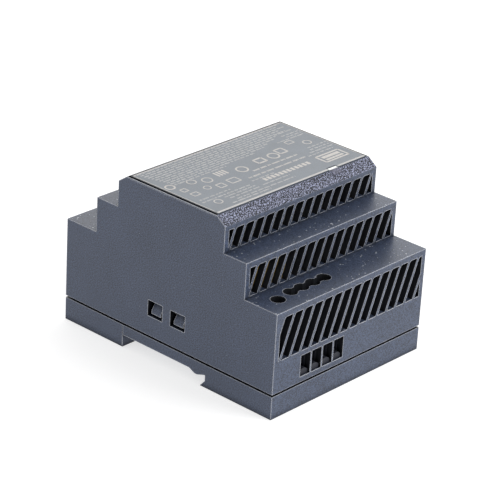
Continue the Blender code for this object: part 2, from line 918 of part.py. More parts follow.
# ---------------------------------------------------------------- controls


def adjuster_body():
    low = (ADJUSTER_X - ADJUSTER_HALF, ADJUSTER_Y - ADJUSTER_HALF, PARTS_FOOT)
    high = (ADJUSTER_X + ADJUSTER_HALF, ADJUSTER_Y + ADJUSTER_HALF, ADJUSTER_TOP)
    body = boxes("adjuster_body", [(low, high)])
    round_edges(body, 0.3, 1)
    bore = rods(
        "adjuster_bore", [(ADJUSTER_X, ADJUSTER_Y, STEM_FOOT - GAP)], "Z", STEM_RADIUS + GAP, 4, CUTTERS
    )
    cut(body, bore)
    return paint(body, blue_plastic)


def adjuster_rotor():
    """Turning dial with a screwdriver slot. Its origin lies on its axis."""
    place = (ADJUSTER_X, ADJUSTER_Y, DIAL_FOOT)
    top = DIAL_FOOT + DIAL_HEIGHT
    dial = rods("adjuster_rotor", [place], "Z", DIAL_RADIUS, DIAL_HEIGHT, PARTS, place)
    round_edges(dial, 0.2, 1, 40.0)
    stem = rods(
        "rotor_stem",
        [(ADJUSTER_X, ADJUSTER_Y, STEM_FOOT)],
        "Z",
        STEM_RADIUS,
        DIAL_FOOT - STEM_FOOT + 0.5,
        CUTTERS,
        sides=16,
    )
    low = (ADJUSTER_X - 1.6, ADJUSTER_Y - 0.35, top - 0.8)
    high = (ADJUSTER_X + 1.6, ADJUSTER_Y + 0.35, top + 1)
    slot = boxes("rotor_slot", [(low, high)], CUTTERS)
    join(dial, stem)
    cut(dial, slot)
    return paint(dial, pale_plastic)


def light_guide():
    """Clear bar from the lamp up to the window; its tip follows the shell's bevelled edge."""
    back = LAMP_BACK - GAP
    front = LAMP_FRONT + GAP
    tip = HEIGHT - 0.1
    slope = (SHELL_TOP - BEVEL_FOOT) / (TOP_HALF - LABEL_HALF)
    outline = [
        (back, GUIDE_FOOT),
        (back, tip),
        (-LABEL_HALF, tip),
        (front, tip - slope * (-LABEL_HALF - front)),
        (front, GUIDE_FOOT),
    ]
    half = LAMP_HALF - GAP
    bar = prism("light_guide", outline, "X", LAMP_X - half, LAMP_X + half)
    round_edges(bar, 0.25, 1)
    return paint(bar, clear_plastic)


def status_led():
    middle = (LAMP_BACK + LAMP_FRONT) / 2
    lamp = rods("status_led", [(LAMP_X, middle, PARTS_FOOT)], "Z", 1.5, LAMP_HEIGHT, sides=20)
    round_edges(lamp, 0.5, 2, 40.0)
    return paint(lamp, clear_plastic)


# ---------------------------------------------------------------- electronics


def main_board():
    low = (-BOARD_HALF_X, -BOARD_HALF_Y, BOARD_FOOT)
    high = (BOARD_HALF_X, BOARD_HALF_Y, BOARD_TOP)
    board = boxes("main_board", [(low, high)])
    return paint(board, board_laminate)


def upright_can(name, x, y, radius, height):
    """Standing electrolytic capacitor: a can with a rolled groove near its foot."""
    can = rods(name, [(x, y, PARTS_FOOT)], "Z", radius, height, sides=28)
    round_edges(can, 0.5, 2, 40.0)
    outer = rods(name + "_ring", [(x, y, PARTS_FOOT + 2.0)], "Z", radius + 1, 0.9, CUTTERS, sides=28)
    inner = rods(name + "_core", [(x, y, PARTS_FOOT + 1.0)], "Z", radius - 0.35, 3, CUTTERS, sides=28)
    cut(outer, inner)
    cut(can, outer)
    return paint(can, dark_plastic)


def fuse():
    body = boxes("fuse", [((22.0, 33.5, PARTS_FOOT), (30.5, 38.0, 17.0))])
    round_edges(body, 0.4, 1)
    return paint(body, dark_plastic)


def disc_part(name, x, y, foot, radius, thick, material):
    """Upright disc on two leads that stand side by side."""
    disc = rods(name, [(x, y - thick / 2, foot + radius)], "Y", radius, thick, sides=24)
    round_edges(disc, 0.5, 2, 40.0)
    leads = boxes(
        name + "_leads",
        [
            ((x - 2.8, y - 0.35, PARTS_FOOT), (x - 2.1, y + 0.35, foot + radius)),
            ((x + 2.1, y - 0.35, PARTS_FOOT), (x + 2.8, y + 0.35, foot + radius)),
        ],
        CUTTERS,
    )
    join(disc, leads)
    return paint(disc, material)


def filter_capacitor():
    body = boxes("filter_capacitor", [((-20.5, 33.0, PARTS_FOOT), (-2.5, 41.0, 24.0))])
    round_edges(body, 0.5, 1)
    return paint(body, yellow_plastic)


def choke_rod(name, half, radius, group=CUTTERS):
    """A rod along X through the middle of the ring choke, which reaches half a width to each side."""
    return rods(name, [(CHOKE_X - half, CHOKE_Y, CHOKE_Z)], "X", radius, 2 * half, group, sides=28)


def choke_core():
    """Ring that stands on edge, its axis along X."""
    ring = choke_rod("choke_core", RING_HALF, RING_OUTER, PARTS)
    cut(ring, choke_rod("choke_hole", RING_HALF + 2, RING_INNER))
    return paint(ring, ferrite)


def choke_winding(index):
    """Half of the choke's wire, wrapped round one side of the ring."""
    name = f"choke_winding_{index}"
    outer = choke_rod(name, WINDING_HALF, WINDING_OUTER, PARTS)
    bore = choke_rod(name + "_bore", WINDING_HALF + 1, WINDING_INNER)
    core_room = choke_rod(name + "_room", RING_HALF + GAP, RING_OUTER + GAP)
    cut(core_room, choke_rod(name + "_core_hole", RING_HALF + 2, RING_INNER - GAP))
    reach = WINDING_OUTER + 1
    low, high = y_span(1 if index == 1 else -1, WINDING_START, reach)
    half = boxes(
        name + "_half",
        [
            (
                (CHOKE_X - WINDING_HALF - 1, CHOKE_Y + low, CHOKE_Z - reach),
                (CHOKE_X + WINDING_HALF + 1, CHOKE_Y + high, CHOKE_Z + reach),
            )
        ],
        CUTTERS,
    )
    cut(outer, bore, core_room)
    combine(outer, "INTERSECT", half)
    return paint(outer, copper_wire)


def bridge_rectifier():
    body = boxes("bridge_rectifier", [((9.3, 27.0, PARTS_FOOT + 3), (20.3, 30.5, 26.0))])
    round_edges(body, 0.4, 1)
    leads = boxes(
        "bridge_leads",
        [((x - 0.5, 28.4, PARTS_FOOT), (x + 0.5, 29.1, 14.0)) for x in (10.3, 13.3, 16.3, 19.3)],
        CUTTERS,
    )
    join(body, leads)
    return paint(body, dark_plastic)


def transformer_core():
    """Twin E cores: two outer legs and a middle leg, with a winding window on each side."""
    half_x, half_y = CORE_HALF
    foot, top = CORE_SPAN_Z
    core = boxes("transformer_core", [((-half_x, -half_y, foot), (half_x, half_y, top))])
    round_edges(core, 0.4, 1)
    windows = boxes(
        "core_windows",
        [
            ((low_x, -half_y - 2, foot + CORE_YOKE), (high_x, half_y + 2, top - CORE_YOKE))
            for low_x, high_x in ((-CORE_WINDOW_END, -CORE_LEG_HALF), (CORE_LEG_HALF, CORE_WINDOW_END))
        ],
        CUTTERS,
    )
    cut(core, windows)
    return paint(core, ferrite)


def transformer_winding():
    half_x = CORE_WINDOW_END - GAP
    foot = CORE_SPAN_Z[0] + CORE_YOKE + GAP
    top = CORE_SPAN_Z[1] - CORE_YOKE - GAP
    coil = boxes("transformer_winding", [((-half_x, -COIL_HALF_Y, foot), (half_x, COIL_HALF_Y, top))])
    round_edges(coil, 1.5, 2)
    leg_x = CORE_LEG_HALF + GAP
    leg_y = CORE_HALF[1] + GAP
    cut(coil, boxes("leg_room", [((-leg_x, -leg_y, foot - 1), (leg_x, leg_y, top + 1))], CUTTERS))
    return paint(coil, yellow_plastic)


def heatsink(name, side, y_low, y_high):
    """Upright plate with three short fins towards the nearer side wall."""
    low, high = sorted((side * SINK_X, side * (SINK_X + SINK_PLATE)))
    plate = boxes(name, [((low, y_low, PARTS_FOOT), (high, y_high, SINK_TOP))])
    fin_low, fin_high = sorted((side * (SINK_X + SINK_PLATE - 0.5), side * (SINK_X + FIN_REACH)))
    span = (y_high - y_low - FIN_THICK) / 2
    spans = []
    for index in range(3):
        start = y_low + span * index
        fin_top = (fin_high, start + FIN_THICK - 0.01, SINK_TOP - 0.01)
        spans.append(((fin_low, start, PARTS_FOOT + 0.01), fin_top))
    join(plate, boxes(name + "_fins", spans, CUTTERS))
    return paint(plate, bare_aluminium)


def power_package(name, side, y):
    """Three-lead power package with its metal tab against a heatsink."""
    x_face = side * (SINK_X - GAP)
    foot, top = PACKAGE_SPAN_Z
    low, high = sorted((x_face, x_face - side * PACKAGE_DEPTH))
    body = boxes(name, [((low, y - PACKAGE_HALF, foot), (high, y + PACKAGE_HALF, top))])
    round_edges(body, 0.3, 1)
    tab_low, tab_high = sorted((x_face - side * 0.05, x_face - side * METAL_TAB))
    half = PACKAGE_HALF - 0.1
    tab = boxes(name + "_tab", [((tab_low, y - half, top - 5), (tab_high, y + half, METAL_TAB_TOP))], CUTTERS)
    middle = x_face - side * PACKAGE_DEPTH / 2
    leads = boxes(
        name + "_leads",
        [
            ((middle - 0.3, y + d - 0.4, PARTS_FOOT), (middle + 0.3, y + d + 0.4, foot + 2))
            for d in (-LEAD_PITCH, 0, LEAD_PITCH)
        ],
        CUTTERS,
    )
    join(body, tab, leads)
    return paint(body, dark_plastic)


def output_choke():
    x, y = DRUM_PLACE
    groove_foot = PARTS_FOOT + DRUM_FLANGE
    groove_height = DRUM_HEIGHT - 2 * DRUM_FLANGE
    drum = rods("output_choke", [(x, y, PARTS_FOOT)], "Z", DRUM_RADIUS, DRUM_HEIGHT, sides=28)
    groove = rods(
        "drum_outer", [(x, y, groove_foot)], "Z", DRUM_RADIUS + 1.5, groove_height, CUTTERS, sides=28
    )
    middle = rods(
        "drum_middle", [(x, y, groove_foot - 1)], "Z", DRUM_CORE_RADIUS, groove_height + 2, CUTTERS, sides=28
    )
    cut(groove, middle)
    cut(drum, groove)
    return paint(drum, ferrite)


def small_box_part(name, low, high, material):
    body = boxes(name, [(low, high)])
    round_edges(body, 0.25, 1)
    return paint(body, material)


def optocoupler():
    return small_box_part("optocoupler", (-18.5, -24.0, PARTS_FOOT), (-12.0, -19.4, 12.6), dark_plastic)


def controller_chip():
    return small_box_part("controller_chip", (18.0, -29.0, PARTS_FOOT), (23.0, -25.0, 10.6), dark_plastic)


def electronics():
    main_board()
    fuse()
    disc_part("varistor", -25.8, 36.0, 12.0, 4.6, 3.6, blue_plastic)
    disc_part("thermistor", 25.5, 29.0, 11.5, 4.5, 3.6, ferrite)
    filter_capacitor()
    choke_core()
    choke_winding(1)
    choke_winding(2)
    bridge_rectifier()
    upright_can("bulk_capacitor", 0.0, 20.0, 8.5, 32.0)
    transformer_core()
    transformer_winding()
    heatsink("primary_heatsink", 1, -14.0, 20.0)
    power_package("switching_transistor", 1, 2.0)
    heatsink("secondary_heatsink", -1, -26.0, 6.0)
    power_package("output_rectifier", -1, -10.0)
    upright_can("output_capacitor_1", 6.0, -36.0, 5.0, 21.0)
    upright_can("output_capacitor_2", 18.0, -36.0, 5.0, 21.0)
    output_choke()
    disc_part("safety_capacitor", -14.0, -28.5, 11.0, 3.6, 3.0, blue_plastic)
    optocoupler()
    controller_chip()


front_housing()
rear_base()
front_label()
rail_latch()
latch_spring()
terminals("output", -1, OUTPUT_X)
terminals("input", 1, INPUT_X)
adjuster_body()
adjuster_rotor()
light_guide()
status_led()
electronics()
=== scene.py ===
"""Looks of the DIN rail power supply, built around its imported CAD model.

Lengths in this script are millimetres, in the CAD's frame: X runs along the rail, Y from the output terminals
to the input terminals, and Z from the rail side to the label. MM turns them into the scene's metres.
"""

import math
import random

import bmesh
import bpy
from mathutils import Matrix, Vector


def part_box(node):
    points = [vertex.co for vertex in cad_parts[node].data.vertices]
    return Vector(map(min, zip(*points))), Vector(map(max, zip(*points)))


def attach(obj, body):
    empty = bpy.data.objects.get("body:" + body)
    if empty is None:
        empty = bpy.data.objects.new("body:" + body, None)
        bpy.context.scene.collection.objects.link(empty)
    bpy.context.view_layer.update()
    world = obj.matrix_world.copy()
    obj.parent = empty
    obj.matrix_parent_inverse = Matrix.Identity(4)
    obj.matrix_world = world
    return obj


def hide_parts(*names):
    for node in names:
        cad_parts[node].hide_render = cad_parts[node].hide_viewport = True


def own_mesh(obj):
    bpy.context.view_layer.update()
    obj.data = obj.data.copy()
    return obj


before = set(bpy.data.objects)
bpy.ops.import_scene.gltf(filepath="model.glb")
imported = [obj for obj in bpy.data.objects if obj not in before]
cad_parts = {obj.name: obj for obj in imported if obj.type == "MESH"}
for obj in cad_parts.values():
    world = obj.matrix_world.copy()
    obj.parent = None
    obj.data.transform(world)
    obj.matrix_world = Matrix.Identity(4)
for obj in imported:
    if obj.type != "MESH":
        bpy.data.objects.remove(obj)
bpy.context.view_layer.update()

MM = 0.001
GAP = 0.3


def span(node):
    """Lowest and highest corner of a CAD node, in millimetres."""
    low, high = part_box(node)
    return low / MM, high / MM


# ---------------------------------------------------------------- driving dimensions

SHELL_LOW, SHELL_HIGH = span("front_housing")
BASE_LOW, BASE_HIGH = span("rear_base")
LABEL_LOW, LABEL_HIGH = span("front_label")
HALF_W = SHELL_HIGH.x
HALF_L = SHELL_HIGH.y
SEAM_TOP = SHELL_LOW.z
SHELL_TOP = SHELL_HIGH.z
BASE_TOP = 7.85
WALL = 2.0
END_WALL = 2.1
ROOF = 1.7
EDGE_ROUND = 0.13
LOW_LEDGE = 35.6
MID_HALF = 31.8
MID_LEDGE = 47.5
TOP_HALF = 22.6
BEVEL_FOOT = 56.2
LABEL_HALF = 19.0

SLOT_PITCH = 4.5
SLOT_WIDTH = 3.5
SLOT_SLANT = math.tan(math.radians(21.0))
SLOT_CORNER = 0.9
SLOT_FIELD = 33.15
SLOT_COUNT = 17
# For each step: outer face, slot foot, slot top, and the X of the first slot's right foot corner
SLOT_ROWS = (
    (HALF_L, 19.4, 33.55, -33.05),
    (MID_HALF, 36.0, 45.48, -34.15),
    (TOP_HALF, 47.9, 54.6, -33.5),
)

OUTPUT_SCREWS = [f"output_screw_{index + 1}" for index in range(4)]
INPUT_SCREWS = [f"input_screw_{index + 1}" for index in range(2)]


def middle_x(node):
    low, high = span(node)
    return (low.x + high.x) / 2


OUTPUT_X = [middle_x(node) for node in OUTPUT_SCREWS]
INPUT_X = [middle_x(node) for node in INPUT_SCREWS]
SCREW_Y = sum(corner.y for corner in span(INPUT_SCREWS[0])) / 2
BLOCK_LOW, BLOCK_HIGH = span("input_terminal_block")
SCREW_HOLE = 4.7
NECK_WIDTH = 2.7
SHAFT_HALF = 3.3
OPENING_HALF = 2.225
OPENING_FOOT = 10.4
OPENING_TOP = 17.7
ROTOR_LOW, ROTOR_HIGH = span("adjuster_rotor")
ADJUSTER = (ROTOR_LOW + ROTOR_HIGH) / 2
ADJUSTER_HOLE = 4.8
GUIDE_LOW, GUIDE_HIGH = span("light_guide")

SNAP_Y = (-4.85, 4.85)
SNAP_HALF = 3.15
SNAP_FOOT = 15.3
SNAP_TOP = 20.7
TAB_HALF = 2.05


# ---------------------------------------------------------------- mesh helpers

LOOKS = bpy.data.collections.new("looks")
bpy.context.scene.collection.children.link(LOOKS)


def make_piece(name, shape, group=LOOKS):
    """An object from a bmesh that was built in millimetres."""
    bmesh.ops.recalc_face_normals(shape, faces=shape.faces)
    mesh = bpy.data.meshes.new(name)
    shape.to_mesh(mesh)
    shape.free()
    mesh.transform(Matrix.Scale(MM, 4))
    piece = bpy.data.objects.new(name, mesh)
    group.objects.link(piece)
    return piece


def add_box(shape, low, high):
    centre = (Vector(low) + Vector(high)) / 2
    size = Vector(high) - Vector(low)
    placed = Matrix.Translation(centre) @ Matrix.Diagonal((*size, 1.0))
    return bmesh.ops.create_cube(shape, size=1.0, matrix=placed)["verts"]


AXIS_TURN = {
    "X": Matrix.Rotation(math.radians(90), 4, "Y"),
    "Y": Matrix.Rotation(math.radians(-90), 4, "X"),
    "Z": Matrix.Identity(4),
}


def add_rod(shape, place, axis, radius, length, sides=48, end_radius=None):
    turn = Matrix.Translation(place) @ AXIS_TURN[axis] @ Matrix.Translation((0, 0, length / 2))
    far = radius if end_radius is None else end_radius
    return bmesh.ops.create_cone(
        shape, cap_ends=True, segments=sides, radius1=radius, radius2=far, depth=length, matrix=turn
    )["verts"]


def add_prism(shape, outline, axis, low, high):
    """An outline in the plane across an axis, in (y, z), (x, z) or (x, y), pushed along that axis."""
    place = {
        "X": lambda u, v, w: (w, u, v),
        "Y": lambda u, v, w: (u, w, v),
        "Z": lambda u, v, w: (u, v, w),
    }[axis]
    near = [shape.verts.new(place(u, v, low)) for u, v in outline]
    far = [shape.verts.new(place(u, v, high)) for u, v in outline]
    shape.faces.new(near)
    shape.faces.new(reversed(far))
    count = len(outline)
    for index in range(count):
        after = (index + 1) % count
        shape.faces.new((near[index], far[index], far[after], near[after]))
    return near + far


def add_turned(shape, profile, place, axis="Z", sides=48):
    """A closed turned solid: the profile is (radius, height) from the foot's middle to the top's middle."""
    turn = Matrix.Translation(place) @ AXIS_TURN[axis]
    rings = []
    for radius, height in profile:
        if radius < 1e-6:
            rings.append([shape.verts.new(turn @ Vector((0, 0, height)))])
            continue
        ring = []
        for index in range(sides):
            angle = 2 * math.pi * index / sides
            ring.append(
                shape.verts.new(turn @ Vector((radius * math.cos(angle), radius * math.sin(angle), height)))
            )
        rings.append(ring)
    for low, high in zip(rings, rings[1:]):
        for index in range(sides):
            after = (index + 1) % sides
            corners = [low[index % len(low)], low[after % len(low)], high[after % len(high)], high[index % len(high)]]
            unique = list(dict.fromkeys(corners))
            shape.faces.new(unique)


def boxes(name, corners, group=LOOKS):
    shape = bmesh.new()
    for low, high in corners:
        add_box(shape, low, high)
    return make_piece(name, shape, group)


def rods(name, places, axis, radius, length, sides=48):
    shape = bmesh.new()
    for place in places:
        add_rod(shape, place, axis, radius, length, sides)
    return make_piece(name, shape)


def prism(name, outline, axis, low, high):
    shape = bmesh.new()
    add_prism(shape, outline, axis, low, high)
    return make_piece(name, shape)


def wire(name, points, radius, closed=False, sides=3):
    """A round wire through the points, as a mesh."""
    curve = bpy.data.curves.new(name, "CURVE")
    curve.dimensions = "3D"
    curve.bevel_depth = radius * MM
    curve.bevel_resolution = sides
    curve.use_fill_caps = True
    spline = curve.splines.new("POLY")
    spline.points.add(len(points) - 1)
    for slot, point in zip(spline.points, points):
        slot.co = (*(Vector(point) * MM), 1.0)
    spline.use_cyclic_u = closed
    holder = bpy.data.objects.new(name, curve)
    mesh = bpy.data.meshes.new_from_object(holder)
    bpy.data.objects.remove(holder)
    piece = bpy.data.objects.new(name, mesh)
    LOOKS.objects.link(piece)
    return piece


def apply_modifiers(piece):
    bpy.context.view_layer.update()
    evaluated = piece.evaluated_get(bpy.context.evaluated_depsgraph_get())
    mesh = bpy.data.meshes.new_from_object(evaluated)
    piece.modifiers.clear()
    piece.data = mesh
    return piece


def round_edges(piece, width, segments=3, angle=30.0):
    bevel = piece.modifiers.new("round_edges", "BEVEL")
    bevel.width = width * MM
    bevel.segments = segments
    bevel.limit_method = "ANGLE"
    bevel.angle_limit = math.radians(angle)
    return piece


def round_outer_edges(piece, width, segments=2):
    """Rounds the edges that stand out and leaves inner corners sharp."""
    shape = bmesh.new()
    shape.from_mesh(piece.data)
    shape.normal_update()
    edges = [edge for edge in shape.edges if edge.is_convex and edge.calc_face_angle() > 0.3]
    bmesh.ops.bevel(
        shape, geom=edges, offset=width * MM, segments=segments, profile=0.5, affect="EDGES", clamp_overlap=True
    )
    shape.to_mesh(piece.data)
    shape.free()
    return piece


def combine(piece, operation, others, crossing=False):
    """A Boolean with each of the others, which are then removed. Their own shells may cross if it says so."""
    for other in others:
        step = piece.modifiers.new(other.name, "BOOLEAN")
        step.operation = operation
        step.solver = "EXACT"
        step.use_self = crossing
        step.object = other
    apply_modifiers(piece)
    for other in others:
        bpy.data.objects.remove(other)
    return piece


def cut(piece, *others, crossing=False):
    return combine(piece, "DIFFERENCE", others, crossing)


def join(piece, *others, crossing=False):
    return combine(piece, "UNION", others, crossing)


def settle(piece, body, materials, replaced=(), smooth=35.0):
    """Shades a finished piece, gives it its materials and hangs it on its CAD body."""
    if piece.modifiers:
        apply_modifiers(piece)
    mesh = piece.data
    mesh.materials.clear()
    for material in materials if isinstance(materials, (list, tuple)) else [materials]:
        mesh.materials.append(material)
    mesh.shade_smooth()
    mesh.set_sharp_from_angle(angle=math.radians(smooth))
    even = piece.modifiers.new("even_shading", "WEIGHTED_NORMAL")
    even.keep_sharp = True
    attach(piece, body)
    if replaced:
        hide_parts(*replaced)
    return piece


def mirrored(points):
    return [(-y, z) for y, z in reversed(points)]


# ---------------------------------------------------------------- materials


class Graph:
    """A material whose Principled shader is driven by small node chains. Lengths are millimetres."""

    def __init__(self, name):
        self.material = bpy.data.materials.new(name)
        self.material.use_nodes = True
        self.tree = self.material.node_tree
        self.shader = self.tree.nodes["Principled BSDF"]
        self.place = None

    def node(self, kind, inputs=None, **settings):
        node = self.tree.nodes.new("ShaderNode" + kind)
        for key, value in settings.items():
            setattr(node, key, value)
        for key, value in (inputs or {}).items():
            self.feed(node, key, value)
        return node

    def feed(self, node, key, value):
        if isinstance(value, bpy.types.NodeSocket):
            self.tree.links.new(value, node.inputs[key])
        else:
            node.inputs[key].default_value = value

    def coords(self, stretch=(1, 1, 1)):
        """The piece's own coordinates in millimetres."""
        if self.place is None:
            self.place = self.node("TexCoord").outputs["Object"]
        scale = Vector(stretch) / MM
        return self.node("Mapping", {"Vector": self.place, "Scale": scale}).outputs["Vector"]

    def noise(self, size, detail=2.0, stretch=(1, 1, 1), roughness=0.5):
        inputs = {"Vector": self.coords(stretch), "Scale": 1 / size, "Detail": detail, "Roughness": roughness}
        return self.node("TexNoise", inputs).outputs["Fac"]

    def cells(self, size, feature="F1", output="Distance"):
        inputs = {"Vector": self.coords(), "Scale": 1 / size}
        return self.node("TexVoronoi", inputs, feature=feature).outputs[output]

    def remap(self, value, low, high, out_low=0.0, out_high=1.0):
        inputs = {"Value": value, "From Min": low, "From Max": high, "To Min": out_low, "To Max": out_high}
        return self.node("MapRange", inputs).outputs["Result"]

    def math(self, operation, first, second=0.0):
        return self.node("Math", {0: first, 1: second}, operation=operation).outputs[0]

    def mix(self, factor, first, second):
        node = self.node("Mix", data_type="RGBA")
        for index, value in ((0, factor), (6, first), (7, second)):
            value = (*value, 1.0) if isinstance(value, tuple) and len(value) == 3 else value
            self.feed(node, index, value)
        return node.outputs[2]

    def shade(self, colour, tone):
        """A colour made lighter or darker by a value round 1."""
        node = self.node("Mix", data_type="RGBA", blend_type="MULTIPLY")
        colour = (*colour, 1.0) if isinstance(colour, tuple) else colour
        for index, value in ((0, 1.0), (6, colour), (7, tone)):
            self.feed(node, index, value)
        return node.outputs[2]

    def soft_edges(self, radius):
        return self.node("Bevel", {"Radius": radius * MM}, samples=6).outputs["Normal"]

    def edge_highlight(self, radius):
        """1 along edges that stand out, and 0 on flats and in inner corners: the mask of a painted highlight."""
        plain = self.node("NewGeometry").outputs["Normal"]
        soft = self.soft_edges(radius)
        likeness = self.node("VectorMath", {0: soft, 1: plain}, operation="DOT_PRODUCT").outputs["Value"]
        free = self.node("AmbientOcclusion", {"Distance": 2 * radius * MM}, samples=8).outputs["AO"]
        return self.math("MULTIPLY", self.remap(likeness, 0.995, 0.86), self.remap(free, 0.75, 0.95))

    def cavity_shade(self, reach, darkest):
        """1 on open faces, falling towards the given value in corners and cavities: a factor of painted shade."""
        free = self.node("AmbientOcclusion", {"Distance": reach * MM}, samples=8).outputs["AO"]
        return self.remap(free, 0.3, 0.95, darkest, 1.0)

    def bump(self, height, depth, normal=None, strength=1.0):
        inputs = {"Height": height, "Distance": depth * MM, "Strength": strength}
        if normal is not None:
            inputs["Normal"] = normal
        return self.node("Bump", inputs).outputs["Normal"]

    def done(self, **inputs):
        for key, value in inputs.items():
            if isinstance(value, tuple) and len(value) == 3:
                value = (*value, 1.0)
            self.feed(self.shader, key.replace("_", " "), value)
        return self.material


def moulded_plastic(name, colour, grain=0.22, depth=0.012, roughness=0.42, edge=0.15, mottle=0.08, dark=1.0,
                    specks=0.0):
    """Moulded plastic with a spark-eroded grain and a broad unevenness of tone; a dark value below 1 adds painted shade
    in corners and cavities.
    """
    graph = Graph(name)
    broad = graph.noise(14.0, 3.0)
    fine = graph.noise(grain, 2.0)
    pits = graph.cells(grain * 1.6)
    tone = graph.math(
        "ADD", graph.remap(broad, 0.3, 0.7, 1 - mottle, 1 + mottle), graph.remap(fine, 0.3, 0.7, -0.07, 0.07)
    )
    base = graph.shade(colour, tone)
    if specks:
        spots = graph.math("LESS_THAN", graph.cells(1.4), specks)
        base = graph.mix(spots, base, tuple(min(1.0, 0.2 + channel) for channel in colour))
    height = graph.math("ADD", fine, graph.remap(pits, 0.0, 0.8, 0.0, 0.6))
    normal = graph.bump(height, depth, graph.soft_edges(edge))
    rough = graph.remap(fine, 0.25, 0.75, roughness - 0.06, roughness + 0.08)
    specular = 0.5
    # Painted shade: colour and reflection darken towards the dark value in corners and cavities.
    if dark < 1:
        cavity_shade = graph.cavity_shade(2.4, dark)
        base = graph.shade(base, cavity_shade)
        specular = graph.math("MULTIPLY", cavity_shade, 0.5)
    return graph.done(Base_Color=base, Roughness=rough, Normal=normal, IOR=1.5, Specular_IOR_Level=specular)


def shell_grain_with_painted_light():
    """Blue-grey housing plastic: fine grit, pale dust on what faces up, painted shade in corners and cavities, and a
    painted highlight on edges that stand out.
    """
    graph = Graph("shell_grain_with_painted_light")
    colour = (0.037, 0.050, 0.086)
    broad = graph.noise(14.0, 3.0)
    fine = graph.noise(0.22, 2.0)
    pits = graph.cells(0.35)
    grit = graph.remap(graph.noise(0.34, 2.0), 0.3, 0.7, -0.8, 0.8)
    tone = graph.math("ADD", graph.remap(broad, 0.3, 0.7, 0.92, 1.08), grit)
    base = graph.shade(colour, tone)
    facing = graph.node("SeparateXYZ", {"Vector": graph.node("NewGeometry").outputs["Normal"]}).outputs["Z"]
    reach = graph.remap(graph.noise(1.7, 1.0), 0.42, 0.7, 0.0, 0.27)
    reach = graph.math("MULTIPLY", reach, graph.remap(facing, 0.5, 0.9, 0.25, 1.0))
    dust = graph.math("LESS_THAN", graph.cells(1.2), reach)
    base = graph.mix(dust, base, (0.42, 0.44, 0.48))
    # Painted shade: colour and reflection darken in corners and cavities.
    cavity_shade = graph.cavity_shade(2.8, 0.12)
    base = graph.shade(base, cavity_shade)
    # Painted highlight: edges that stand out are mixed towards a pale blue-grey.
    base = graph.mix(graph.edge_highlight(0.4), base, (0.54, 0.555, 0.6))
    height = graph.math("ADD", fine, graph.remap(pits, 0.0, 0.8, 0.0, 0.6))
    return graph.done(
        Base_Color=base,
        Roughness=graph.remap(fine, 0.25, 0.75, 0.36, 0.5),
        Normal=graph.bump(height, 0.012, graph.soft_edges(0.15)),
        IOR=1.5,
        Specular_IOR_Level=graph.math("MULTIPLY", cavity_shade, 0.5),
    )


def shell_hollow_shade():
    """Painted shade for the shell's insides: a near-black copy of its plastic on the walls of slots, holes, shafts and
    windows, where next to no light falls.
    """
    return moulded_plastic("shell_hollow_shade", (0.006, 0.007, 0.010), roughness=0.5, dark=0.1)


def strip_grain():
    """The coarser, sparkling grain of the bevelled strips beside the label."""
    graph = Graph("strip_grain")
    cells = graph.cells(0.6)
    fine = graph.noise(0.36, 2.0, roughness=0.55)
    spark = graph.math("POWER", graph.remap(fine, 0.38, 0.62), 2.5)
    base = graph.shade((0.021, 0.0225, 0.0315), graph.remap(spark, 0.0, 1.0, 0.05, 17.0))
    height = graph.math("ADD", graph.remap(cells, 0.0, 0.7, 0.0, 0.8), fine)
    normal = graph.bump(height, 0.12, graph.soft_edges(0.12))
    rough = graph.remap(fine, 0.3, 0.7, 0.6, 0.42)
    return graph.done(Base_Color=base, Roughness=rough, Normal=normal, IOR=1.5, Specular_IOR_Level=0.25)


def film_surface():
    graph = Graph("label_film_surface")
    broad = graph.noise(9.0, 3.0)
    fine = graph.noise(0.5, 2.0)
    tone = graph.math("ADD", graph.remap(broad, 0.3, 0.7, 0.92, 1.08), graph.remap(fine, 0.3, 0.7, -0.2, 0.2))
    base = graph.shade((0.108, 0.128, 0.152), tone)
    normal = graph.bump(fine, 0.004)
    rough = graph.remap(fine, 0.3, 0.7, 0.36, 0.46)
    return graph.done(Base_Color=base, Roughness=rough, Normal=normal, IOR=1.5)


def ink(name, colour, worn=0.25):
    """Printed ink that is a little uneven."""
    graph = Graph(name)
    patch = graph.noise(0.5, 3.0, roughness=0.7)
    tone = graph.remap(patch, 0.3, 0.7, 1 - worn, 1.0)
    return graph.done(Base_Color=graph.shade(colour, tone), Roughness=0.5)


def lamp_plastic(name, colour, clear=0.35, glow=0.0):
    graph = Graph(name)
    haze = graph.noise(1.1, 3.0)
    tone = graph.remap(haze, 0.3, 0.7, 0.9, 1.06)
    base = graph.shade(colour, tone)
    normal = graph.bump(haze, 0.02, graph.soft_edges(0.2))
    rough = graph.remap(haze, 0.3, 0.7, 0.14, 0.26)
    return graph.done(
        Base_Color=base, Roughness=rough, Normal=normal, Transmission_Weight=clear, Emission_Color=colour,
        Emission_Strength=glow, IOR=1.49,
    )


def lamp_window():
    """Milky plastic with painted light: a painted highlight of white on the window's flat top, and a dull violet grey
    of painted shade on the slope and further down.
    """
    graph = Graph("lamp_window")
    haze = graph.noise(1.1, 3.0)
    along = graph.node("SeparateXYZ", {"Vector": graph.coords()}).outputs["Y"]
    # Painted light: from this Y on, the flat top is painted white as lit and the slope a shaded grey.
    lit = graph.remap(along, -18.75, -18.45)
    shaded_slope = graph.shade((0.088, 0.09, 0.13), graph.remap(graph.noise(0.55, 2.0), 0.36, 0.66, 0.5, 1.7))
    base = graph.mix(lit, shaded_slope, (0.82, 0.82, 0.8))
    base = graph.shade(base, graph.remap(haze, 0.3, 0.7, 0.95, 1.05))
    normal = graph.bump(haze, 0.02, graph.soft_edges(0.2))
    rough = graph.remap(haze, 0.3, 0.7, 0.3, 0.42)
    return graph.done(Base_Color=base, Roughness=rough, Normal=normal, IOR=1.49)


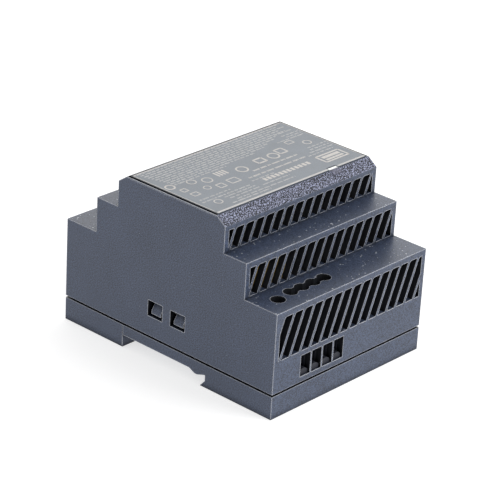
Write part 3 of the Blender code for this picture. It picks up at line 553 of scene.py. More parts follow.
def metal(name, colour, roughness=0.3, brush=(1, 1, 1), stain=0.1, grain=0.25):
    """Plated or bare metal with fine drawing marks and faint stains."""
    graph = Graph(name)
    marks = graph.noise(grain, 3.0, stretch=brush)
    stains = graph.noise(2.4, 4.0)
    tone = graph.remap(stains, 0.3, 0.7, 1 - stain, 1.0)
    normal = graph.bump(marks, 0.006, graph.soft_edges(0.06))
    rough = graph.math("ADD", graph.remap(marks, 0.3, 0.7, roughness - 0.05, roughness + 0.08), graph.remap(stains, 0.3, 0.7, 0.0, 0.06))
    return graph.done(Base_Color=graph.shade(colour, tone), Metallic=1.0, Roughness=rough, Normal=normal)


def layered_tape():
    """Yellow tape wound in layers round the transformer."""
    graph = Graph("tape_layers")
    waves = graph.node(
        "TexWave",
        {"Vector": graph.coords(), "Scale": 0.42, "Distortion": 0.6, "Detail": 1.0, "Detail Scale": 0.3},
        bands_direction="Z",
    ).outputs["Fac"]
    broad = graph.noise(4.0, 3.0)
    base = graph.shade((0.26, 0.17, 0.02), graph.remap(broad, 0.3, 0.7, 0.85, 1.1))
    base = graph.mix(graph.remap(waves, 0.0, 0.25, 0.4, 0.0), base, (0.14, 0.09, 0.012))
    normal = graph.bump(waves, 0.06)
    return graph.done(Base_Color=base, Roughness=0.32, Normal=normal)


def circuit_board():
    """Green solder mask over copper tracks and pours."""
    graph = Graph("solder_mask")
    steps = graph.node(
        "TexBrick",
        {"Vector": graph.coords(), "Scale": 0.11, "Mortar Size": 0.018, "Mortar Smooth": 0.2, "Bias": 0.0},
    ).outputs["Fac"]
    islands = graph.cells(6.5, feature="DISTANCE_TO_EDGE")
    tracks = graph.math("LESS_THAN", islands, 0.09)
    copper = graph.math("MAXIMUM", tracks, steps)
    weave = graph.noise(0.5, 2.0)
    base = graph.mix(copper, (0.018, 0.105, 0.045), (0.035, 0.2, 0.07))
    base = graph.shade(base, graph.remap(weave, 0.3, 0.7, 0.9, 1.1))
    normal = graph.bump(copper, 0.035)
    return graph.done(Base_Color=base, Roughness=0.33, Normal=normal)


SHELL = shell_grain_with_painted_light()
HOLLOW_SHADE = shell_hollow_shade()
STRIP = strip_grain()
FILM = film_surface()
INK = ink("print_light", (0.56, 0.53, 0.5), 0.35)
INK_FAINT = ink("print_faint", (0.5, 0.5, 0.5), 0.5)
BORDER = ink("label_border", (0.5, 0.485, 0.475), 0.3)
# Painted shade, laid on as near-black ink along the label's far edge and ends.
LABEL_EDGE_SHADE = ink("label_edge_shade", (0.006, 0.006, 0.008), 0.2)
LENS = lamp_window()
BULB = lamp_plastic("lamp_bulb", (0.45, 0.62, 0.45), 0.25)
BAND_GREY = ink("sleeve_band", (0.3, 0.31, 0.32), 0.2)
LATCH_PLASTIC = moulded_plastic("latch_grain", (0.014, 0.014, 0.016), 0.18, 0.01, 0.4)
BLOCK_DARK = moulded_plastic("terminal_dark", (0.010, 0.012, 0.021), 0.2, 0.008, 0.6)
BLOCK_PALE = moulded_plastic("terminal_pale", (0.5, 0.51, 0.48), 0.2, 0.008, 0.38)
BLUE = moulded_plastic("adjuster_blue", (0.02, 0.075, 0.32), 0.2, 0.006, 0.3)
IVORY = moulded_plastic("adjuster_pale", (0.68, 0.67, 0.6), 0.15, 0.006, 0.35)
BLACK_EPOXY = moulded_plastic("package_black", (0.012, 0.012, 0.013), 0.12, 0.008, 0.45)
BLUE_EPOXY = moulded_plastic("disc_blue", (0.015, 0.07, 0.27), 0.8, 0.03, 0.22)
DARK_EPOXY = moulded_plastic("thermistor_coat", (0.02, 0.035, 0.02), 0.7, 0.03, 0.35)
YELLOW_CASE = moulded_plastic("filter_yellow", (0.55, 0.33, 0.03), 0.25, 0.008, 0.35)
FUSE_CASE = moulded_plastic("fuse_case", (0.016, 0.016, 0.018), 0.2, 0.008, 0.3)
FERRITE = moulded_plastic("ferrite", (0.02, 0.019, 0.018), 0.3, 0.02, 0.5, specks=0.12)
SLEEVE = moulded_plastic("can_sleeve", (0.012, 0.016, 0.035), 0.9, 0.004, 0.22)
TAPE = layered_tape()
BOARD = circuit_board()
STEEL = metal("screw_steel", (0.72, 0.71, 0.68), 0.24)
CAGE_STEEL = metal("cage_steel", (0.27, 0.275, 0.28), 0.36, (1, 6, 1))
SPRING_STEEL = metal("spring_steel", (0.56, 0.56, 0.55), 0.26)
BRASS = metal("contact_brass", (0.4, 0.37, 0.3), 0.3, (1, 1, 5))
ALUMINIUM = metal("heatsink", (0.74, 0.75, 0.76), 0.36, (1, 1, 8), grain=0.5)
COPPER = metal("winding_copper", (0.74, 0.3, 0.12), 0.25)
TIN = metal("solder_tin", (0.7, 0.7, 0.7), 0.3)


# ---------------------------------------------------------------- enclosure


def shell_outline(inset, roof, foot):
    """Half profile of the stepped shell (y, z) from the foot up to the label edge, then mirrored."""
    half = [
        (HALF_L - inset, foot),
        (HALF_L - inset, LOW_LEDGE - roof),
        (MID_HALF - inset, LOW_LEDGE - roof),
        (MID_HALF - inset, MID_LEDGE - roof),
        (TOP_HALF - inset, MID_LEDGE - roof),
        (TOP_HALF - inset, BEVEL_FOOT - 0.7 * roof),
        (LABEL_HALF - 0.5 * inset, SHELL_TOP - roof),
    ]
    return half + mirrored(half)


def rounded_corner(before, corner, after, reach, steps=8):
    """Points that round an outline's corner off, starting and ending at the given reach from it."""
    corner = Vector(corner)
    start = corner + (Vector(before) - corner).normalized() * reach
    end = corner + (Vector(after) - corner).normalized() * reach
    points = []
    for index in range(steps + 1):
        t = index / steps
        point = start * (1 - t) ** 2 + corner * 2 * t * (1 - t) + end * t**2
        points.append((point.x, point.y))
    return points


def slot_row(row, side):
    """The slanted slots of one step on one side, cut off at the field's two ends."""
    face, foot, top, corner = SLOT_ROWS[row]
    shift = SLOT_SLANT * (top - foot)
    shape = bmesh.new()
    for index in range(SLOT_COUNT):
        right = corner + index * SLOT_PITCH
        left = right - SLOT_WIDTH
        outline = [(left, foot), (right, foot), (right + shift, top)]
        outline += rounded_corner((right + shift, top), (left + shift, top), (left, foot), SLOT_CORNER)
        add_prism(shape, outline, "Y", -face - 1, -face + END_WALL + 1)
    name = f"slots_{row}_{side}"
    cutter = make_piece(name, shape)
    field = boxes(
        name + "_field",
        [((-SLOT_FIELD, -face - 2, foot - 1), (SLOT_FIELD, -face + END_WALL + 2, top + 1))],
    )
    combine(cutter, "INTERSECT", [field])
    if side > 0:
        cutter.data.transform(Matrix.Rotation(math.pi, 4, "Z"))
    return cutter


def driver_shafts():
    """Screwdriver shafts that hang from the low ledges down to the terminals and the adjuster."""
    foot = BLOCK_HIGH.z + GAP
    top = LOW_LEDGE - 0.6
    shafts = []
    for name, places, y in (("output", OUTPUT_X, -SCREW_Y), ("input", INPUT_X, SCREW_Y)):
        low = (places[0] - SHAFT_HALF, y - SHAFT_HALF, foot)
        high = (places[-1] + SHAFT_HALF, y + SHAFT_HALF, top)
        shafts.append(boxes(name + "_shaft", [(low, high)]))
    shafts.append(rods("adjuster_shaft", [(ADJUSTER.x, ADJUSTER.y, 20.0)], "Z", 3.4, top - 20.0, 32))
    return shafts


def driver_holes():
    """Round holes over the screws and the adjuster. The four outputs run into each other through necks."""
    start = BLOCK_HIGH.z - 1
    output = rods("output_holes", [(x, -SCREW_Y, start) for x in OUTPUT_X], "Z", SCREW_HOLE / 2, 20)
    half = NECK_WIDTH / 2
    neck = boxes(
        "neck", [((OUTPUT_X[0], -SCREW_Y - half, start - 1), (OUTPUT_X[-1], -SCREW_Y + half, LOW_LEDGE + 5))]
    )
    feed = rods("input_holes", [(x, SCREW_Y, start) for x in INPUT_X], "Z", SCREW_HOLE / 2, 20)
    adjuster = rods("adjuster_hole", [(ADJUSTER.x, ADJUSTER.y, 18)], "Z", ADJUSTER_HOLE / 2, 20)
    return output, neck, feed, adjuster


def wall_openings():
    """Wire openings in the end walls, snap windows in the side walls and the lamp's window."""
    spans = []
    for x in OUTPUT_X:
        spans.append(((x - OPENING_HALF, -HALF_L - 1, OPENING_FOOT), (x + OPENING_HALF, -HALF_L + 4, OPENING_TOP)))
    for x in INPUT_X:
        spans.append(((x - OPENING_HALF, HALF_L - 4, OPENING_FOOT), (x + OPENING_HALF, HALF_L + 1, OPENING_TOP)))
    for low_x in (-HALF_W - 1, HALF_W - WALL - 1):
        for y in SNAP_Y:
            spans.append(((low_x, y - SNAP_HALF, SNAP_FOOT), (low_x + WALL + 2, y + SNAP_HALF, SNAP_TOP)))
    low = (GUIDE_LOW.x - GAP, GUIDE_LOW.y - GAP, BEVEL_FOOT - 3)
    high = (GUIDE_HIGH.x + GAP, GUIDE_HIGH.y + GAP, SHELL_TOP + 2)
    spans.append((low, high))
    return boxes("wall_openings", spans)


def depth_under(y, z):
    """How far a point lies inside the shell's stepped outline: less than nothing when it is outside."""
    y = abs(y)
    steps = [min(HALF_L - y, LOW_LEDGE - z), min(MID_HALF - y, MID_LEDGE - z), min(TOP_HALF - y, SHELL_TOP - z)]
    run, rise = TOP_HALF - LABEL_HALF, SHELL_TOP - BEVEL_FOOT
    below_strip = ((TOP_HALF - y) * rise - (z - BEVEL_FOOT) * run) / math.hypot(run, rise)
    steps[2] = min(steps[2], below_strip)
    return max(steps)


def mark_faces(piece):
    """Gives the strips beside the label their coarser grain, and everything inside the shell a near-black painted
    shade.
    """
    for face in piece.data.polygons:
        x, y, z = face.center / MM
        depth = min(HALF_W - abs(x), depth_under(y, z), z - SEAM_TOP + 0.3)
        sill = face.normal.z > 0.7 and depth < END_WALL
        if depth > 0.2 and not sill:
            face.material_index = 2
        elif z > BEVEL_FOOT and 0.35 < abs(face.normal.y) < 0.9 and abs(face.normal.x) < 0.3:
            face.material_index = 1


def front_shell():
    shell = prism("front_shell", shell_outline(0, 0, SEAM_TOP), "X", -HALF_W, HALF_W)
    round_outer_edges(shell, EDGE_ROUND)
    inside = HALF_W - WALL
    cut(shell, prism("cavity", shell_outline(END_WALL, ROOF, SEAM_TOP - 2), "X", -inside, inside))
    join(shell, *driver_shafts())
    cut(shell, *[slot_row(row, side) for row in range(len(SLOT_ROWS)) for side in (-1, 1)])
    foot, top = SHELL_TOP - 0.5, SHELL_TOP + 1
    outer, inner, far = HALF_W - 0.14, HALF_W - 0.8, LABEL_HALF - 0.14
    spans = [
        ((-outer, -LABEL_HALF + 0.3, foot), (-inner, far, top)),
        ((inner, -LABEL_HALF + 0.3, foot), (outer, far, top)),
        ((-inner - 0.1, far - 0.6, foot + 0.02), (inner + 0.1, far - 0.02, top + 0.5)),
    ]
    grooves = [boxes(f"label_groove_{index}", [corners]) for index, corners in enumerate(spans)]
    cut(shell, *driver_holes(), wall_openings(), *grooves)
    settle(shell, "case", [SHELL, STRIP, HOLLOW_SHADE], ["front_housing"])
    mark_faces(shell)


RAIL_SEAT = 3.2
RECESS_TOP = 4.3
RECESS_HOOK_Y = -17.4
RECESS_LATCH_Y = 18.7
RECESS_BLOCK_TOP = 6.2
LIP_TIP_Y = -15.4
LATCH_LOW, LATCH_HIGH = span("rail_latch")
LATCH_HALF = LATCH_HIGH.x
RIB_HALF = 7.5
GUIDE_TOP = LATCH_HIGH.z + GAP
PLATE_FOOT = 1.8
TUNNEL_HALF = 12.1
TUNNEL_TOP = 5.6
SPRING_LOW, SPRING_HIGH = span("latch_spring")


def rail_recess():
    """Rail recess: hook pocket with its sloping lip, tilting land, ceiling and latch side wall."""
    outline = [
        (RECESS_LATCH_Y, -1.0),
        (RECESS_LATCH_Y, RECESS_TOP),
        (-10.6, RECESS_TOP),
        (-13.0, RAIL_SEAT),
        (-14.0, RAIL_SEAT),
        (RECESS_HOOK_Y, RECESS_TOP),
        (RECESS_HOOK_Y, 2.3),
        (LIP_TIP_Y, 0.0),
        (LIP_TIP_Y + 0.9, -1.0),
    ]
    return prism("rail_recess", outline, "X", -HALF_W - 1, HALF_W + 1)


def base_hollows():
    """Hollows inside the base, left open at the top, and the latch's T-shaped guide."""
    inside_x = HALF_W - WALL
    inside_y = HALF_L - WALL
    top = BASE_TOP + 2
    over = TUNNEL_HALF + 0.9
    spans = [
        ((-inside_x, -inside_y, WALL), (inside_x, RECESS_HOOK_Y - 2, top)),
        ((-inside_x, RECESS_HOOK_Y - 3, RECESS_BLOCK_TOP), (inside_x, RECESS_LATCH_Y + 3, top)),
        ((-inside_x, RECESS_LATCH_Y + 2, WALL), (-TUNNEL_HALF, inside_y, top)),
        ((TUNNEL_HALF, RECESS_LATCH_Y + 2, WALL), (inside_x, inside_y, top)),
        ((-over, RECESS_LATCH_Y + 1, TUNNEL_TOP), (over, inside_y, top)),
        ((-RIB_HALF - GAP, 17.0, -1), (RIB_HALF + GAP, HALF_L + 1, PLATE_FOOT + 0.2)),
        ((-LATCH_HALF - GAP, 17.0, PLATE_FOOT - GAP), (LATCH_HALF + GAP, HALF_L + 1, GUIDE_TOP)),
    ]
    return [boxes(f"hollow_{index}", [corners]) for index, corners in enumerate(spans)]


def snap_tab(side, y):
    """A springy tab that stands in the shell's window: a catch block with a ramp above it."""
    inner, outer, catch = 31.1, 32.7, 34.4
    outline = [
        (inner, BASE_TOP - 4),
        (outer, BASE_TOP - 4),
        (outer, 16.1),
        (catch, 16.1),
        (catch, 17.2),
        (outer, BASE_HIGH.z),
        (inner, BASE_HIGH.z),
    ]
    if side < 0:
        outline = mirrored(outline)
    return prism(f"tab_{side}_{y}", outline, "Y", y - TAB_HALF, y + TAB_HALF)


def rail_base():
    base = boxes("rail_base", [((-HALF_W, -HALF_L, 0), (HALF_W, HALF_L, BASE_TOP))])
    round_edges(base, EDGE_ROUND, 2)
    inset = 1.3
    step = boxes(
        "seam_step",
        [((-HALF_W + inset, -HALF_L + inset, BASE_TOP - 1), (HALF_W - inset, HALF_L - inset, SEAM_TOP - GAP))],
    )
    join(base, step)
    groove = 0.12
    mould_lines = boxes(
        "mould_lines",
        [
            ((low_x, RECESS_LATCH_Y - groove, RECESS_TOP - 1), (low_x + 0.3, RECESS_LATCH_Y + groove, BASE_TOP + 1))
            for low_x in (-HALF_W - 0.2, HALF_W - 0.1)
        ],
    )
    cut(base, *base_hollows(), rail_recess(), mould_lines)
    pad_y = (13.2, 17.4)
    pads = boxes(
        "pads",
        [((low, pad_y[0], RAIL_SEAT), (high, pad_y[1], RECESS_TOP + 0.7)) for low, high in ((-30, -11), (11, 30))],
    )
    post_y = (SPRING_HIGH.y + GAP, SPRING_HIGH.y + GAP + 1.4)
    post = boxes("post", [((-1.3, post_y[0], 1.0), (1.3, post_y[1], GUIDE_TOP + 0.5))])
    board_foot = span("main_board")[0].z
    pillars = rods(
        "pillars", [(x, y, 1.5) for x in (-27, 27) for y in (-39, 39)], "Z", 2.2, board_foot - GAP - 1.5, 32
    )
    anchors = boxes(
        "anchors",
        [
            ((low, y - 3.0, RECESS_BLOCK_TOP - 0.5), (high, y + 3.0, BASE_TOP - 0.6))
            for low, high in ((-33.5, -30.8), (30.8, 33.5))
            for y in SNAP_Y
        ],
    )
    tabs = [snap_tab(side, y) for side in (-1, 1) for y in SNAP_Y]
    join(base, pads, post, pillars, anchors, *tabs)
    settle(base, "case", [SHELL, HOLLOW_SHADE], ["rear_base"])
    # Painted shade: the seam step and the floor of the seam get the near-black shade material.
    for face in base.data.polygons:
        x, y, z = face.center / MM
        inside = min(HALF_W - abs(x), HALF_L - abs(y)) > inset - 0.1
        seam_floor = face.normal.z > 0.9 and abs(z - BASE_TOP) < 0.05
        if seam_floor or (inside and BASE_TOP - 0.1 < z < SEAM_TOP + 0.5):
            face.material_index = 1


# ---------------------------------------------------------------- label


class Print:
    """Flat marks printed on the label: bars, rings, frames and polygons."""

    def __init__(self, name, material, lift=0.0):
        self.name = name
        self.material = material
        self.foot = LABEL_HIGH.z - 0.02
        self.top = LABEL_HIGH.z + 0.012 + lift
        self.shape = bmesh.new()

    def bar(self, x, y, width, height):
        add_box(self.shape, (x - width / 2, y - height / 2, self.foot), (x + width / 2, y + height / 2, self.top))

    def line(self, start, end, width):
        start, end = Vector(start), Vector(end)
        across = (end - start).normalized().orthogonal() * width / 2
        corners = [start + across, start - across, end - across, end + across]
        add_prism(self.shape, [(p.x, p.y) for p in corners], "Z", self.foot, self.top)

    def loop(self, points, width):
        for start, end in zip(points, points[1:] + points[:1]):
            self.line(start, end, width)

    def ring(self, x, y, radius, width, sweep=360, start=0):
        steps = max(6, int(sweep / 12))
        for index in range(steps):
            spots = []
            for turn in (index, index + 1.04):
                angle = math.radians(start + sweep * turn / steps)
                spots.append((x + radius * math.cos(angle), y + radius * math.sin(angle)))
            self.line(*spots, width)

    def disc(self, x, y, radius):
        add_rod(self.shape, (x, y, self.foot), "Z", radius, self.top - self.foot, 24)

    def frame(self, x, y, width, height, stroke):
        half_x, half_y = width / 2, height / 2
        self.loop([(x - half_x, y - half_y), (x + half_x, y - half_y), (x + half_x, y + half_y), (x - half_x, y + half_y)], stroke)

    def text_row(self, low_x, high_x, y, height, draw):
        """A row of short bars that stands for a line of small print."""
        x = low_x
        while x < high_x:
            word = height * draw.uniform(1.2, 4.5)
            end = min(x + word, high_x)
            stroke = x
            while stroke < end - 0.15:
                width = height * draw.uniform(0.35, 0.6)
                tall = height * draw.choice((1.0, 0.78, 0.78, 0.9))
                self.bar(stroke + width / 2, y, min(width, end - stroke), tall)
                stroke += width + height * 0.16
            x = end + height * 0.75

    def finish(self):
        settle(make_piece(self.name, self.shape), "case", self.material)


FILM_HALF = LABEL_HIGH.x - 0.3
FILM_FAR = LABEL_HIGH.y - 0.3


def label_edges():
    """Paler border strips of the film, the near one broken where the lamp's window is, and near-black lines of painted
    shade along the far edge and the ends.
    """
    strips = Print("label_border", BORDER, 0.004)
    near = LABEL_LOW.y + 0.5
    far = FILM_FAR - 0.7
    ends = (-FILM_HALF + 0.45, FILM_HALF - 0.45)
    for low, high in ((ends[0], GUIDE_LOW.x - 0.7), (GUIDE_HIGH.x + 0.7, ends[1])):
        strips.bar((low + high) / 2, near, high - low, 0.85)
    strips.bar((ends[0] + ends[1]) / 2, far, ends[1] - ends[0], 0.45)
    for x in ends:
        strips.bar(x, 0.25, 0.3, 2 * far - 0.7)
    strips.finish()
    # Painted shade: near-black lines along the film's far edge and both ends stand for the shaded rim round the label.
    outline = Print("label_edge_shade", LABEL_EDGE_SHADE, 0.006)
    outline.bar(0, FILM_FAR - 0.2, 2 * FILM_HALF, 0.4)
    for side in (-1, 1):
        outline.bar(side * (FILM_HALF - 0.13), (FILM_FAR - 0.4 + LABEL_LOW.y) / 2, 0.26, FILM_FAR - 0.4 - LABEL_LOW.y)
    outline.finish()


def label_small_print():
    """Rows of small print: a dense block that narrows towards the middle, and short notes between the marks."""
    draw = random.Random(11)
    rows = Print("label_small_print", INK_FAINT)
    for index, end in enumerate((31, 30, 32, 28, 30, 24, 22, 17, 14, 8, -6)):
        rows.text_row(-32.5 + 0.35 * index, end, 17.2 - 1.27 * index, 0.72, draw)
    notes = ((24, 32, 11.5), (25, 33, 9.4), (26, 33, 8.0), (20, 33, 6.6), (24.5, 33, -2.4), (24, 33, -4.0))
    notes += ((22, 33, -5.6), (19.5, 31, -7.2), (-21.6, 4.5, -14.9), (-31.5, -18, -8.6), (-32, -11, -10.3))
    notes += ((-24, -10.5, -11.7), (-23, -9.5, -13.2), (-8.5, 1.5, -8.8), (-8.0, 4.0, -12.9), (-25, -8, -16.2))
    for low, high, y in notes:
        rows.text_row(low, high, y, 0.68, draw)
    rows.finish()


def label_marks():
    """A row of equal bars, and plain rings and frames. None of them stands for a letter, a sign or an approval."""
    draw = random.Random(5)
    marks = Print("label_marks", INK)
    marks.text_row(-2.4, 17.8, -3.7, 0.85, draw)
    marks.text_row(-7.6, 18.4, -6.6, 0.85, draw)
    for index in range(12):
        marks.bar(-4.4 + 1.8 * index, -10.5, 1.2, 1.9)
    for index in range(4):
        marks.bar(-13.4 + 1.25 * index, 1.7, 0.7, 3.2)
    marks.ring(-31.3, 4.2, 1.5, 0.6)
    marks.ring(-27.6, -12.6, 1.35, 0.4)
    marks.ring(-23.4, 2.8, 1.5, 0.4)
    marks.ring(-18.6, 0.7, 1.7, 0.42)
    marks.ring(-22.7, -3.3, 1.2, 0.35)
    marks.ring(-4.2, -0.5, 1.9, 0.6)
    marks.ring(11.3, 0.4, 1.9, 0.6)
    marks.ring(28.0, 1.0, 1.4, 0.4)
    marks.frame(-29.6, -0.2, 2.0, 2.0, 0.4)
    marks.frame(-28.9, -4.3, 2.6, 2.2, 0.35)
    marks.frame(-18.2, -4.9, 2.6, 2.6, 0.42)
    marks.frame(-12.4, -4.6, 3.8, 3.0, 0.4)
    marks.frame(5.2, 0.6, 3.6, 2.9, 0.7)
    marks.frame(16.0, 1.6, 3.3, 3.3, 0.6)
    marks.frame(23.4, 4.6, 2.8, 2.0, 0.35)
    marks.frame(25.8, -11.6, 10.6, 4.8, 0.7)
    for y, height in ((-12.7, 1.0), (-10.9, 1.5)):
        marks.bar(25.8, y, 8.0, height)
    marks.finish()


def label():
    film = boxes("label_sheet", [((-FILM_HALF, LABEL_LOW.y, LABEL_LOW.z), (FILM_HALF, FILM_FAR, LABEL_HIGH.z))])
    round_edges(film, 0.06, 2)
    notch = boxes(
        "label_notch",
        [
            (
                (GUIDE_LOW.x - GAP, LABEL_LOW.y - 1, LABEL_LOW.z - 1),
                (GUIDE_HIGH.x + GAP, GUIDE_HIGH.y + GAP, LABEL_HIGH.z + 1),
            )
        ],
    )
    cut(film, notch)
    settle(film, "case", FILM, ["front_label"])
    label_edges()
    label_small_print()
    label_marks()


# ---------------------------------------------------------------- latch and its spring


def rail_latch():
    back = RECESS_LATCH_Y + GAP
    foot, top = LATCH_LOW.z, LATCH_HIGH.z
    tip = LATCH_LOW.y
    latch = boxes("latch_slider", [((-LATCH_HALF, back, PLATE_FOOT), (LATCH_HALF, HALF_L, top))])
    rib = boxes("latch_rib", [((-RIB_HALF, back - 0.6, foot), (RIB_HALF, HALF_L - 0.01, PLATE_FOOT + 0.4))])
    outline = [(back + 0.4, foot), (tip + 2.1, foot), (tip, 1.4), (tip, 2.0), (back + 0.4, 2.0)]
    nose = prism("latch_nose", outline, "X", -RIB_HALF, RIB_HALF)
    join(round_edges(latch, 0.25), round_edges(rib, 0.15, 2), round_edges(nose, 0.12, 2))
    pocket = boxes("latch_pocket", [((-1.7, SPRING_LOW.y - 0.3, -1), (1.7, 36.4, top + 1))])
    pull = boxes("latch_pull", [((-3.0, 39.8, -1), (3.0, 42.8, top + 1))])
    grooves = boxes(
        "grip_grooves",
        [((-6.6, y, foot - 1), (6.6, y + 0.45, foot + 0.35)) for y in (28.0, 29.6, 31.2, 32.8, 34.4, 36.0)]
        + [((-6.6, y, foot - 1), (6.6, y + 0.3, foot + 0.3)) for y in (43.4, 44.1)],
    )
    cut(latch, pocket, pull, grooves)
    settle(latch, "latch", LATCH_PLASTIC, ["rail_latch"])


def latch_spring():
    """Its turns lie close at both ends."""
    low, high = SPRING_LOW.y, SPRING_HIGH.y
    wire_radius = 0.2
    coil = (SPRING_HIGH.x - SPRING_LOW.x) / 2 - wire_radius
    axis_z = (SPRING_LOW.z + SPRING_HIGH.z) / 2
    turns, per_turn = 8, 24
    points = []
    for index in range(turns * per_turn + 1):
        t = index / (turns * per_turn)
        eased = t + 0.09 * math.sin(4 * math.pi * t) / 2 - 0.07 * math.sin(2 * math.pi * t)
        angle = 2 * math.pi * turns * t
        along = low + wire_radius + (high - low - 2 * wire_radius) * eased
        points.append((coil * math.cos(angle), along, axis_z + coil * math.sin(angle)))
    spring = wire("latch_coil", points, wire_radius)
    settle(spring, "case", SPRING_STEEL, ["latch_spring"])
    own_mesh(spring)


# ---------------------------------------------------------------- terminals


def y_pair(side, near, far):
    return sorted((side * near, side * far))


def hump_outline(x):
    """The rounded hump at the foot of a wire opening."""
    half, foot, top, radius = 2.12, OPENING_FOOT - 0.1, 12.5, 2.55
    outline = [(x - half, foot), (x + half, foot)]
    for index in range(17):
        offset = half * (1 - index / 8)
        outline.append((x + offset, top - radius + math.sqrt(radius**2 - offset**2)))
    return outline


def terminal_block(kind, side, places, finish):
    left, right = places[0] - 2.6, places[-1] + 2.6
    foot, top = BLOCK_LOW.z, BLOCK_HIGH.z
    low, high = y_pair(side, 32.0, 42.6)
    block = boxes(f"{kind}_block", [((left, low, foot), (right, high, top))])
    round_edges(block, 0.3)
    name = f"{kind}_cut"
    far = y_pair(side, 34.0, 43.6)
    rear = y_pair(side, 31.0, 34.5)
    face = y_pair(side, 31.5, 32.25)
    chambers = boxes(name + "_chambers", [((x - 2.15, far[0], 10.2), (x + 2.15, far[1], 20.9)) for x in places])
    legs = boxes(name + "_legs", [((x - 1.2, rear[0], foot - 1), (x + 1.2, rear[1], 15.7)) for x in places])
    heads = rods(name + "_heads", [(x, side * SCREW_Y, 21.0) for x in places], "Z", 2.3, 6)
    shanks = rods(name + "_shanks", [(x, side * SCREW_Y, 19.9) for x in places], "Z", 1.55, 3, 32)
    gaps = [(places[index] + places[index + 1]) / 2 for index in range(len(places) - 1)]
    spans = [((x - 0.2, face[0], foot - 1), (x + 0.2, face[1], top + 1)) for x in gaps]
    spans += [((x - 0.2, low - 1, top - 0.3), (x + 0.2, high + 1, top + 1)) for x in gaps]
    spans += [((left - 1, face[0], z), (right + 1, face[1], z + 0.3)) for z in (17.6, 19.0)]
    cut(block, chambers, legs, heads, shanks)
    cut(block, boxes(name + "_grooves", spans), crossing=True)
    near, out = y_pair(side, 41.5, 44.3)
    humps = [prism(f"{name}_hump_{index}", hump_outline(x), "Y", near, out) for index, x in enumerate(places)]
    near, out = y_pair(side, 41.4, 42.5)
    roots = boxes(name + "_roots", [((x - 1.9, near, 9.6), (x + 1.9, out, 11.2)) for x in places])
    join(block, roots, *humps)
    settle(block, "case", finish, [f"{kind}_terminal_block"])


def terminal_screw(node):
    """Slotted clamp screw: a domed head with a chamfered rim, and a shank with a rolled thread."""
    low, high = span(node)
    x, y = (low.x + high.x) / 2, (low.y + high.y) / 2
    radius = (high.x - low.x) / 2
    head_foot, top = high.z - 2.2, high.z
    shape = bmesh.new()
    profile = [(0, 0), (0.9, 0), (1.02, 0.3), (1.02, head_foot - low.z), (radius - 0.15, head_foot - low.z)]
    profile += [(radius, head_foot + 0.15 - low.z), (radius, top - 0.35 - low.z), (radius - 0.25, top - 0.12 - low.z)]
    profile += [(radius - 0.9, top - 0.02 - low.z), (0, top - low.z)]
    add_turned(shape, profile, (x, y, low.z), sides=48)
    screw = make_piece(node + "_body", shape)
    cut(screw, boxes(node + "_slot", [((x - 3, y - 0.4, top - 0.9), (x + 3, y + 0.4, top + 1))]))
    settle(screw, node + "_body", STEEL, [node])
    pitch, per_turn = 0.5, 18
    turns = int((head_foot - low.z - 0.5) / pitch)
    points = []
    for index in range(turns * per_turn + 1):
        angle = 2 * math.pi * index / per_turn
        points.append((x + 1.03 * math.cos(angle), y + 1.03 * math.sin(angle), low.z + 0.25 + pitch * index / per_turn))
    thread = wire(node + "_thread", points, 0.13, sides=1)
    settle(thread, node + "_body", STEEL)


def clamp_cage(node):
    """Cage of folded strip: a window for the wire with a ridged floor, and a threaded header."""
    low, high = span(node)
    x, y = (low.x + high.x) / 2, (low.y + high.y) / 2
    cage = boxes(node + "_strip", [(low, high)])
    round_edges(cage, 0.3)
    window = boxes(node + "_window", [((x - 1.25, low.y - 1, low.z + 1.0), (x + 1.25, high.y + 1, high.z - 1.9))])
    bore = rods(node + "_bore", [(x, y, high.z - 2.5)], "Z", 1.45, 4, 32)
    seam = boxes(node + "_seam", [((x + 0.6, low.y - 1, high.z - 1.0), (x + 0.72, high.y + 1, high.z + 1))])
    notches = boxes(
        node + "_ridges",
        [((x - 1.2, y + shift, low.z + 0.8), (x + 1.2, y + shift + 0.3, low.z + 1.2)) for shift in (-1.8, -0.9, 0.0, 0.9, 1.8)],
    )
    cut(cage, window, bore, seam, notches)
    settle(cage, node + "_body", CAGE_STEEL, [node])


def contact_bar(node, side):
    """Tinned bar over the wire, ribbed underneath, with a rounded bend down to the board."""
    low, high = span(node)
    near, far = (low.y, high.y) if side > 0 else (high.y, low.y)
    thick = 0.7
    top = high.z
    bend = []
    for index in range(7):
        angle = math.pi / 2 * index / 6
        bend.append((near + side * 0.8 * (1 - math.sin(angle)), top - 0.8 * (1 - math.cos(angle))))
    inner = []
    for index in range(7):
        angle = math.pi / 2 * (6 - index) / 6
        inner.append((near + side * (0.8 - 0.1 * math.sin(angle)), top - 0.8 + 0.1 * math.cos(angle)))
    outline = [(far, top - thick), (far, top)] + bend + [(near, low.z), (near + side * thick, low.z)] + inner
    bar = prism(node + "_bar", outline, "X", low.x, high.x)
    ribs = boxes(
        node + "_ribs",
        [((low.x - 1, side * at - 0.15, top - thick - 0.2), (high.x + 1, side * at + 0.15, top - thick + 0.15)) for at in (36.0, 37.2, 38.4)],
    )
    cut(bar, ribs)
    round_edges(bar, 0.06, 2)
    settle(bar, "case", BRASS, [node])


def terminals():
    for kind, side, places, finish in (("output", -1, OUTPUT_X, BLOCK_DARK), ("input", 1, INPUT_X, BLOCK_PALE)):
        terminal_block(kind, side, places, finish)
        for index in range(len(places)):
            terminal_screw(f"{kind}_screw_{index + 1}")
            clamp_cage(f"{kind}_cage_{index + 1}")
            contact_bar(f"{kind}_contact_{index + 1}", side)


# ---------------------------------------------------------------- adjuster and lamp


